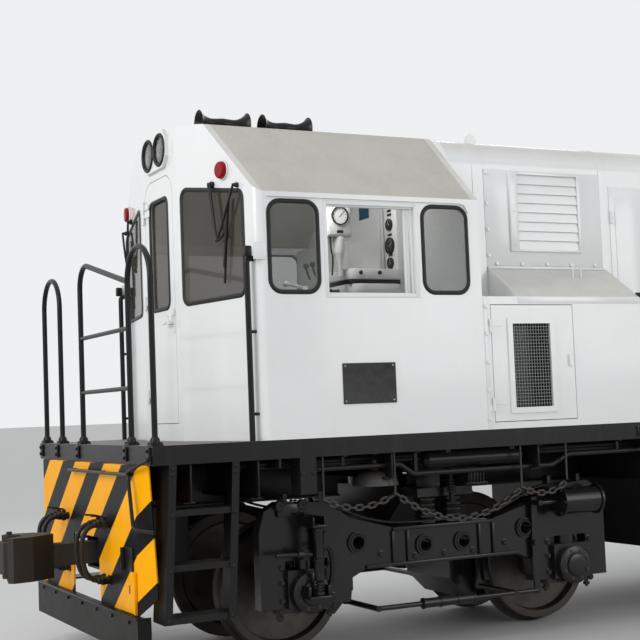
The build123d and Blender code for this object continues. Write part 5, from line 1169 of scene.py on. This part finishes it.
class LOCO_OT_seats(bpy.types.Operator):
    """Padded seat cushions with crowned tops, a pressed channel and pulled-in sides"""
    bl_idname = "loco.seats"
    bl_label = "Seats"

    def cushion(self, name, centre, size, thin):
        """Closed cushion, flat on one side and crowned on the other across its thin axis."""
        half = [length / 2 for length in size]
        piece = block(name, [-length for length in half], half)
        bpy.ops.object.mode_set(mode="EDIT")
        bpy.ops.mesh.select_all(action="SELECT")
        bpy.ops.mesh.subdivide(number_cuts=9)
        bpy.ops.object.mode_set(mode="OBJECT")
        for vertex in piece.data.vertices:
            place = [max(-1.0, min(1.0, vertex.co[i] / half[i])) for i in range(3)]
            flat = [place[i] for i in range(3) if i != thin]
            crown = (1 - flat[0] ** 2) * (1 - flat[1] ** 2)
            pinch = 1 - 0.05 * (1 - place[thin] ** 2) * (abs(flat[0]) > 0.99 or abs(flat[1]) > 0.99)
            channel = -0.006 * max(0.0, 1 - (abs(abs(flat[1]) - 0.36) / 0.06)) * (place[thin] > 0.9)
            for i in range(3):
                if i != thin:
                    vertex.co[i] *= 0.97 * pinch
            if place[thin] > 0:
                vertex.co[thin] = vertex.co[thin] * 0.80 + crown ** 0.5 * half[thin] * 0.19 + channel
        modify(piece, "SUBSURF", levels=1, render_levels=1)
        return moved(piece, Matrix.Translation(centre))

    def execute(self, context):
        for label, y in (("right", -0.760), ("left", 0.760)):
            base = self.cushion("seat_base_" + label, (4.065, y, 2.085), (0.41, 0.44, 0.09), 2)
            back = self.cushion("seat_back_" + label, (3.845, y, 2.36), (0.07, 0.42, 0.40), 0)
            for piece in (base, back):
                dress(piece, "seat_vinyl", angle=60)
            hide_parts("seat_cushions")
        return {"FINISHED"}


class LOCO_OT_brake_hoses(bpy.types.Operator):
    """Brake hoses hanging from their angle cocks into their parking brackets"""
    bl_idname = "loco.brake_hoses"
    bl_label = "Brake hoses"

    def fittings(self, end, side, y):
        """Crimped ferrules at both ends of a hose, and the cock with its stem and handle along the pipe."""
        parts = []
        for name, sides, facing, x, z, stations in (
                ("ferrule", 20, (end, 0, 0), 0.070, COCK_Z, FERRULE),
                ("ferrule", 20, (end, 0, 0), 0.052, BRACKET_Z, FERRULE),
                ("cock", 6, (end, 0, 0), 0.020, COCK_Z, [(0.030, 0.0), (0.034, 0.004), (0.034, 0.030),
                                                         (0.030, 0.034)]),
                ("stem", 12, (0, 0, 1), 0.037, 1.034, [(0.014, 0.0), (0.014, 0.020), (0.010, 0.024)])):
            parts.append(stand(turned(name, stations, sides), (end * (PLATE_FACE_X + x), side * y, z), facing))
        handle = [(PLATE_FACE_X + x, y, z) for x, z in ((0.037, 1.056), (0.060, 1.064), (0.125, 1.070))]
        return parts + tubes([("handle", 0.007, handle)], side, end)

    def length(self, hose):
        """Length of the smooth line itself."""
        plain = hose.data.copy()
        plain.bevel_depth = 0
        probe = bpy.data.objects.new("probe", plain)
        mesh = bpy.data.meshes.new_from_object(probe)
        total = sum((mesh.vertices[e.vertices[0]].co - mesh.vertices[e.vertices[1]].co).length for e in mesh.edges)
        discard(probe)
        return round(total, 3)

    def execute(self, context):
        rings = []
        for end, label in ((1, "front"), (-1, "rear")):
            for side, hand in ((1, "left"), (-1, "right")):
                for y, use in ((0.430, "train"), (0.560, "main")):
                    points = [(end * (PLATE_FACE_X + x), side * y, z) for x, z in
                              ((0.070, COCK_Z), (0.170, COCK_Z), (0.200, 0.820), (0.150, BRACKET_Z),
                               (0.052, BRACKET_Z))]
                    hose = line("_".join(("hose", use, label, hand)), points, 0.017, 4)
                    hose.data.materials.append(finishes["rubber"])
                    length = self.length(hose)
                    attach(hose, BODY)
                    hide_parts("brake_hoses")
                    rings += self.fittings(end, side, y)
        assemble("hose_ferrules", rings, "black_paint")
        return {"FINISHED"}


class LOCO_OT_bogie_detail(bpy.types.Operator):
    """Cast ribs, covers, bolts, pipes and cylinder heads of the bogies"""
    bl_idname = "loco.bogie_detail"
    bl_label = "Bogie detail"

    def frame_ribs(self, side):
        """Flanges and ribs on the web of the side frame, the lug bracket and the damper's clevis and foot."""
        rows = [("flange", (-0.42, 0.842), (0.42, 0.868), 0.022, 0.006),
                ("flange", (-0.64, 0.597), (0.64, 0.622), 0.022, 0.006)]
        rows += [("rib", (x - 0.011, 0.622), (x + 0.011, 0.842), 0.018, 0.005) for x in (-0.42, -0.30, 0.30, 0.42)]
        rows += [("bracket", (1.110, 1.000), (1.310, 1.085), 0.030, 0.008),
                 ("clevis", (1.035, 0.925), (1.135, 0.945), 0.205, 0.005),
                 ("clevis", (1.035, 0.945), (1.050, 1.000), 0.205, 0.005),
                 ("clevis", (1.120, 0.945), (1.135, 1.000), 0.205, 0.005)]
        parts = bars([(name, (BOGIE_X + low[0], FRAME_FACE_Y, low[1]),
                       (BOGIE_X + high[0], FRAME_FACE_Y + reach, high[1]), edge)
                      for name, low, high, reach, edge in rows], side)
        return parts + bars([("foot", (4.060, 1.050, 0.455), (4.225, 1.160, 0.475), 0.005),
                             ("foot", (4.060, 1.050, 0.475), (4.080, 1.140, 0.540), 0.005),
                             ("foot", (4.205, 1.050, 0.475), (4.225, 1.140, 0.540), 0.005)], side)

    def pipes(self, side):
        """Rod and branch of the axlebox damper, and the pipe from the brake cylinder along the frame top."""
        pipe = [(BOGIE_X + x, y, z) for x, y, z in
                ((-0.99, 1.03, 1.055), (-0.99, 1.03, 1.09), (-0.80, 0.99, 1.09), (-0.62, 0.97, 1.00),
                 (-0.40, 0.965, 0.905), (0.30, 0.965, 0.890), (0.62, 0.965, 0.93), (0.86, 0.965, 1.04))]
        return tubes([("rod", 0.015, [(4.420, 1.060, 0.755), (4.360, 1.060, 0.755), (4.250, 1.070, 0.752),
                                      (4.170, 1.100, 0.748)]),
                      ("branch", 0.015, [(4.105, 1.090, 0.790), (4.060, 1.070, 0.795), (4.010, 1.060, 0.755),
                                         (4.000, 1.050, 0.640), (4.010, 1.040, 0.540), (4.030, 1.040, 0.500)]),
                      ("pipe", 0.011, pipe)], side)

    def round_castings(self, side):
        """Covers, studs, bosses, cylinder heads, collars, dampers and eyes, each turned and stood in place."""
        out, down = (0, side, 0), (0, 0, -1)
        axles = (BOGIE_X - AXLE_REACH, BOGIE_X + AXLE_REACH)
        rows = [(COVER, 40, (axle, 1.0251, AXLE_Z), out) for axle in axles]
        rows += [(STUD, 12, (axle + dx, 0.90, 0.352), down) for axle in axles for dx in (-0.19, 0.19)]
        rows += [(CYLINDER_HEAD, 36, (x, CYLINDER_Y, CYLINDER_Z), (facing, 0, 0)) for x, facing in CYLINDER_ENDS]
        rows += [([(radius, -0.007), (radius + 0.005, -0.003), (radius + 0.005, 0.003), (radius, 0.007)], 28,
                  (BOGIE_X + 1.018, 0.995, z), (0, 0, 1))
                 for z, radius in ((0.765, 0.040), (0.885, 0.042), (0.690, 0.033), (0.668, 0.030))]
        rows += [(DAMPER, 28, (DAMPER_X, DAMPER_Y, 0.450), (0, 0, 1))]
        rows += [([(0.022, -0.006), (0.032, -0.004), (0.032, 0.004), (0.022, 0.006)], 20,
                  (DAMPER_X, DAMPER_Y, z), (0, 0, 1)) for z in (0.500, 0.520, 0.540, 0.560)]
        rows += [([(0.024, 0.0), (0.030, 0.006), (0.030, 0.046), (0.024, 0.052)], 20, (4.270, 1.066, 0.752),
                  (-1, 0, 0))]
        rows += [([(0.030, 0.0), (0.036, 0.006), (0.036, 0.034), (0.030, 0.040), (0.012, 0.040), (0.011, 0.034)], 24,
                  (x, FRAME_FACE_Y, 1.075), out) for x in (4.175, 4.345)]
        rows += [([(0.034, -0.010), (0.040, -0.006), (0.040, 0.006), (0.034, 0.010)], 20,
                  (BOGIE_X + x, 0.982, 0.320), (1, 0, 0)) for x in (-0.21, -0.07, 0.07, 0.21)]
        parts = [stand(turned("casting", stations, sides), flipped(point, 1, side), facing)
                 for stations, sides, point, facing in rows]
        return parts + [ring(0.052, 0.010, (BOGIE_X + x, 0.968 * side, z), out, 36)
                        for x, z in ((-0.700, 0.783), (-0.160, 0.728), (0.160, 0.728), (0.700, 0.783))]

    def bolt_places(self, side):
        """Places of the frame bolts and of the small screws on axlebox covers and cylinder heads."""
        face, out = FRAME_FACE_Y * side, (0, side, 0)
        big = []
        little = []
        for axle in (BOGIE_X - AXLE_REACH, BOGIE_X + AXLE_REACH):
            for angle in [radians(22.5 + 45 * i) for i in range(8)]:
                little.append(((axle + 0.108 * cos(angle), 1.038 * side, AXLE_Z + 0.108 * sin(angle)), out, angle))
            big += crossings((axle - 0.19, axle + 0.19), [face], (0.44, 0.56, 0.66), out, 0.3)
            big += crossings([axle + dx for dx in (-0.20, -0.07, 0.07, 0.20)], [0.94 * side], [0.369], out, 0.1)
        for x, facing in CYLINDER_ENDS:
            for angle in [radians(60 * i) for i in range(6)]:
                little.append(((x + facing * 0.012, CYLINDER_Y * side + 0.094 * cos(angle),
                                CYLINDER_Z + 0.094 * sin(angle)), (facing, 0, 0), angle))
        big += crossings((BOGIE_X - 0.52, BOGIE_X + 0.52), [face], [0.690], out, 0.2)
        big += crossings((BOGIE_X - 0.24, BOGIE_X, BOGIE_X + 0.24), [face], [0.655], out, 0.2)
        return big, little

    def execute(self, context):
        sizes = context.scene.loco_fasteners
        bolt = hex_bolt(sizes.frame_bolt, 0.018)
        small = hex_bolt(sizes.frame_bolt * 0.6, 0.011)
        big = []
        little = []
        castings = []
        for side in (-1, 1):
            castings += self.frame_ribs(side) + self.round_castings(side) + self.pipes(side)
            frame_bolts, screws = self.bolt_places(side)
            big += frame_bolts
            little += screws
        for piece, finish in ((join("bogie_castings_front", castings), "bogie_iron"),
                              (scatter(bolt, "bogie_bolts_front", big), "bogie_iron"),
                              (scatter(small, "bogie_screws_front", little), "chain_steel")):
            rear = other_end(piece, piece.name.replace("front", "rear"))
            dress(piece, finish, "bogie_front")
            dress(rear, finish, "bogie_rear")
        discard(bolt, small)
        return {"FINISHED"}


class LOCO_OT_underframe_detail(bpy.types.Operator):
    """Sill webs, conduits, clips, drip boxes, drains, tank fittings and bells under the deck"""
    bl_idname = "loco.underframe_detail"
    bl_label = "Underframe detail"

    def sills(self, end):
        """Centre sill webs with their foot flanges, and cross bearers between the side sills."""
        rows = []
        for side in (-1, 1):
            for start, stop, foot in ((1.15, 2.50, 1.090), (2.50, 3.62, 1.240), (3.62, 5.34, 1.090)):
                rows.append(("sill_web", (start, 0.420 * side, foot), (stop, 0.434 * side, SILL_FOOT_Z), 0.002))
                rows.append(("sill_foot", (start, 0.380 * side, foot - 0.012), (stop, 0.474 * side, foot), 0.003))
        for x, foot in ((1.42, 1.100), (2.46, 1.240), (3.66, 1.240), (4.64, 1.165), (5.10, 1.165)):
            rows.append(("cross_bearer", (x, -1.340, foot), (x + 0.012, 1.340, SILL_FOOT_Z), 0.002))
            rows.append(("bearer_foot", (x - 0.035, -1.300, foot - 0.010), (x + 0.047, 1.300, foot), 0.002))
        return bars(rows, 1, end)

    def side_fittings(self, side):
        """Drip box, tray, clips and splices, drain and conduits, drain sleeve and tank filler of one side."""
        rows = [("drip_box", (2.860, 1.090, 1.165), (2.995, 1.230, 1.245), 0.006),
                ("drip_tray", (2.835, 1.080, 1.148), (3.020, 1.240, 1.162), 0.004),
                ("gauge_back", (-0.56, 1.2495, 0.70), (-0.48, 1.262, 1.10), 0.004)]
        rows += [("fin", (x - 0.004, 1.080, 1.160), (x + 0.004, 1.240, 1.250), 0.001)
                 for x in (2.875, 2.901, 2.927, 2.953, 2.979)]
        rows += [("clip", (x - 0.012, 1.02, 1.392), (x + 0.012, 1.18, SILL_FOOT_Z), 0.003)
                 for x in (4.55, 4.10, 3.90, 2.35, 1.80)]
        rows += [("splice", (x - 0.09, SIDE_Y, 1.425), (x + 0.09, SIDE_Y + 0.008, 1.505), 0.002)
                 for x in SPLICES_X]
        runs = [("drain", 0.020, [(DRAIN_X, DRAIN_Y, z) for z in (1.400, 1.250, 1.020)])]
        runs += [("conduit", radius, [(4.70, y, z), (3.72, y, z), (3.60, y, z), (3.40, y * 0.99, z),
                                      (2.60, y * 0.99, z), (1.40, y, z)])
                 for y, z, radius in ((1.16, 1.372, 0.016), (1.10, 1.350, 0.022), (1.04, 1.372, 0.013))]
        parts = bars(rows, side) + tubes(runs, side)
        for z in (1.100, 1.120, 1.140, 1.160, 1.180):
            sleeve = turned("sleeve", [(0.022, -0.008), (0.034, -0.005), (0.034, 0.005), (0.022, 0.008)], 20)
            parts.append(stand(sleeve, (DRAIN_X, DRAIN_Y * side, z)))
        filler = turned("filler", [(0.058, 0.0), (0.062, 0.010), (0.062, 0.030), (0.050, 0.040), (0.018, 0.046)],
                        28)
        return parts + [stand(filler, (0.600, 1.290 * side, 1.184), (0, side * 0.857, 0.514))]

    def bell(self, side):
        """Hollow bowl on its stalk, with a nut above and a clapper inside."""
        return [stand(turned(name, stations, sides), (3.685, 1.130 * side, 0.0)) for name, stations, sides in
                (("bowl", BELL_BOWL, 56), ("nut", [(0.034, 1.296), (0.034, 1.318), (0.028, 1.322)], 6),
                 ("clapper", [(0.012, 1.178), (0.020, 1.186), (0.022, 1.198), (0.014, 1.210), (0.006, 1.216),
                              (0.006, 1.270)], 18))]

    def execute(self, context):
        bolt = hex_bolt(0.013, 0.011)
        parts = self.sills(-1) + self.sills(1)
        heads = []
        for side in (-1, 1):
            out, splice = (0, side, 0), (SIDE_Y + 0.008) * side
            parts += self.side_fittings(side)
            # Bolts of jack pads, tank straps and sill splices
            heads += crossings((4.265, 4.347, -4.265, -4.347), [SIDE_Y * side], [1.30], out, 0.4)
            for x in (-0.8, 0.0, 0.8):
                heads += crossings((x - 0.022, x + 0.022), [1.340 * side], (1.06, 1.36), out, 0.2)
            for x in SPLICES_X:
                heads += crossings((x - 0.06, x + 0.06), [splice], (1.445, 1.485), out, 0.5)
        assemble("underframe_detail", parts, "black_paint")
        bells = assemble("bells", self.bell(-1) + self.bell(1), "bell_metal", angle=50)
        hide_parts("bell")
        dress(scatter(bolt, "underframe_bolts", heads), "black_paint")
        discard(bolt)
        return {"FINISHED"}


class LOCO_OT_stage(bpy.types.Operator):
    """Plain floor, soft light and the camera at the photograph's angle"""
    bl_idname = "loco.stage"
    bl_label = "Stage"

    def room(self, sky):
        """World that lights evenly, and shows pale behind the object, in its glass and in its metal."""
        world = bpy.data.worlds.new("room")
        bpy.context.scene.world = world
        world.use_nodes = True
        tree = world.node_tree
        tree.nodes.clear()

        def node(kind, values, **settings):
            made = tree.nodes.new(kind)
            for label, value in settings.items():
                setattr(made, label, value)
            for label, value in values.items():
                if isinstance(value, bpy.types.NodeSocket):
                    tree.links.new(value, made.inputs[label])
                else:
                    made.inputs[label].default_value = value
            return made.outputs

        path = node("ShaderNodeLightPath", {})
        seen = path["Is Camera Ray"]
        for label in ("Is Transmission Ray", "Is Glossy Ray"):
            seen = node("ShaderNodeMath", {0: seen, 1: path[label]}, operation="MAXIMUM")[0]
        light = node("ShaderNodeBackground", {"Color": (0.97, 0.985, 1.0, 1), "Strength": sky})[0]
        pale = node("ShaderNodeBackground", {"Color": (0.86, 0.87, 0.88, 1), "Strength": 1.0})[0]
        node("ShaderNodeOutputWorld", {"Surface": node("ShaderNodeMixShader", {0: seen, 1: light, 2: pale})[0]})

    def lamp(self, name, place, size, power, aim):
        """Square area lamp that lights a point and isn't seen itself."""
        data = bpy.data.lights.new(name, "AREA")
        data.energy = power
        data.size = size
        lamp = bpy.data.objects.new(name, data)
        bpy.context.collection.objects.link(lamp)
        lamp.location = place
        lamp.visible_camera = False
        lamp.visible_transmission = False
        lamp.rotation_euler = (Vector(aim) - Vector(place)).to_track_quat("-Z", "Y").to_euler()

    def camera(self, lens):
        """Camera at the photograph's place, solved from its points."""
        yaw, pitch, roll = radians(-26.5), radians(3.9), radians(-2.21)
        ahead = Vector((sin(yaw) * cos(pitch), -cos(yaw) * cos(pitch), sin(pitch)))
        right = ahead.cross(Vector((0, 0, 1))).normalized()
        above = right.cross(ahead)
        right, above = right * cos(roll) + above * sin(roll), above * cos(roll) - right * sin(roll)
        data = bpy.data.cameras.new("camera")
        data.lens = lens
        data.sensor_width = 36.0
        camera = bpy.data.objects.new("camera", data)
        bpy.context.collection.objects.link(camera)
        camera.matrix_world = Matrix.Translation((7.99, 9.01, 1.718)) @ axes(right, above, -ahead)
        bpy.context.scene.camera = camera

    def execute(self, context):
        stage = context.scene.loco_stage
        deselect()
        bpy.ops.mesh.primitive_plane_add(size=1, location=(0, 0, -0.0005))
        floor = bpy.context.active_object
        floor.name = "floor"
        floor.scale = (600, 600, 1)
        apply_place(floor)
        f = Finish("floor_plain", Roughness=0.7)
        f.feed("Base Color", f.mix(f.noise(0.8, 5.0), tuple(stage.floor) + (1.0,), shade(stage.floor, 0.95)))
        floor.data.materials.append(finishes["floor_plain"])

        self.room(stage.sky)
        middle, cab = (1.5, 0, 1.8), (3.25, 0, 2.6)
        for name, place, size, share, aim in (("window_light", (12.5, 2.5, 6.5), 5.0, 1.0, middle),
                                              ("side_light", (-4.0, 11.0, 5.0), 6.0, 0.6, middle),
                                              ("far_light", (-3.0, -9.0, 7.0), 6.0, 0.45, middle),
                                              ("cab_light", (3.90, 0.62, 3.45), 0.4, 0.022, cab)):
            self.lamp(name, place, size, stage.key * share, aim)
        self.camera(stage.focal_length)
        context.scene.view_settings.view_transform = "Standard"
        return {"FINISHED"}


operators = (LOCO_OT_finishes, LOCO_OT_end_fasteners, LOCO_OT_hood_fasteners, LOCO_OT_side_plates, LOCO_OT_headlamps,
             LOCO_OT_cab_trim, LOCO_OT_cab_interior, LOCO_OT_seats, LOCO_OT_brake_hoses, LOCO_OT_bogie_detail,
             LOCO_OT_underframe_detail, LOCO_OT_stage)


class LOCO_PT_panel(bpy.types.Panel):
    """Locomotive pieces and their settings"""
    bl_idname = "LOCO_PT_panel"
    bl_label = "Locomotive"
    bl_space_type = "VIEW_3D"
    bl_region_type = "UI"
    bl_category = "Locomotive"

    def draw(self, context):
        scene = context.scene
        for group in (scene.loco_colours, scene.loco_fasteners, scene.loco_stage):
            box = self.layout.box()
            for setting in group.bl_rna.properties:
                if setting.identifier not in ("rna_type", "name"):
                    box.prop(group, setting.identifier)
        for operator in operators:
            self.layout.operator(operator.bl_idname)


classes = (BodyColours, FastenerSizes, StageLight) + operators + (LOCO_PT_panel,)


def register():
    for item in classes:
        bpy.utils.register_class(item)
    bpy.types.Scene.loco_colours = bpy.props.PointerProperty(type=BodyColours)
    bpy.types.Scene.loco_fasteners = bpy.props.PointerProperty(type=FastenerSizes)
    bpy.types.Scene.loco_stage = bpy.props.PointerProperty(type=StageLight)


def unregister():
    del bpy.types.Scene.loco_colours
    del bpy.types.Scene.loco_fasteners
    del bpy.types.Scene.loco_stage
    for item in reversed(classes):
        bpy.utils.unregister_class(item)


def main():
    register()
    bpy.ops.loco.finishes()
    bpy.ops.loco.end_fasteners()
    bpy.ops.loco.hood_fasteners()
    bpy.ops.loco.side_plates()
    bpy.ops.loco.headlamps()
    bpy.ops.loco.cab_trim()
    bpy.ops.loco.cab_interior()
    bpy.ops.loco.seats()
    bpy.ops.loco.brake_hoses()
    bpy.ops.loco.bogie_detail()
    bpy.ops.loco.underframe_detail()
    bpy.ops.loco.stage()


if __name__ == "__main__":
    main()
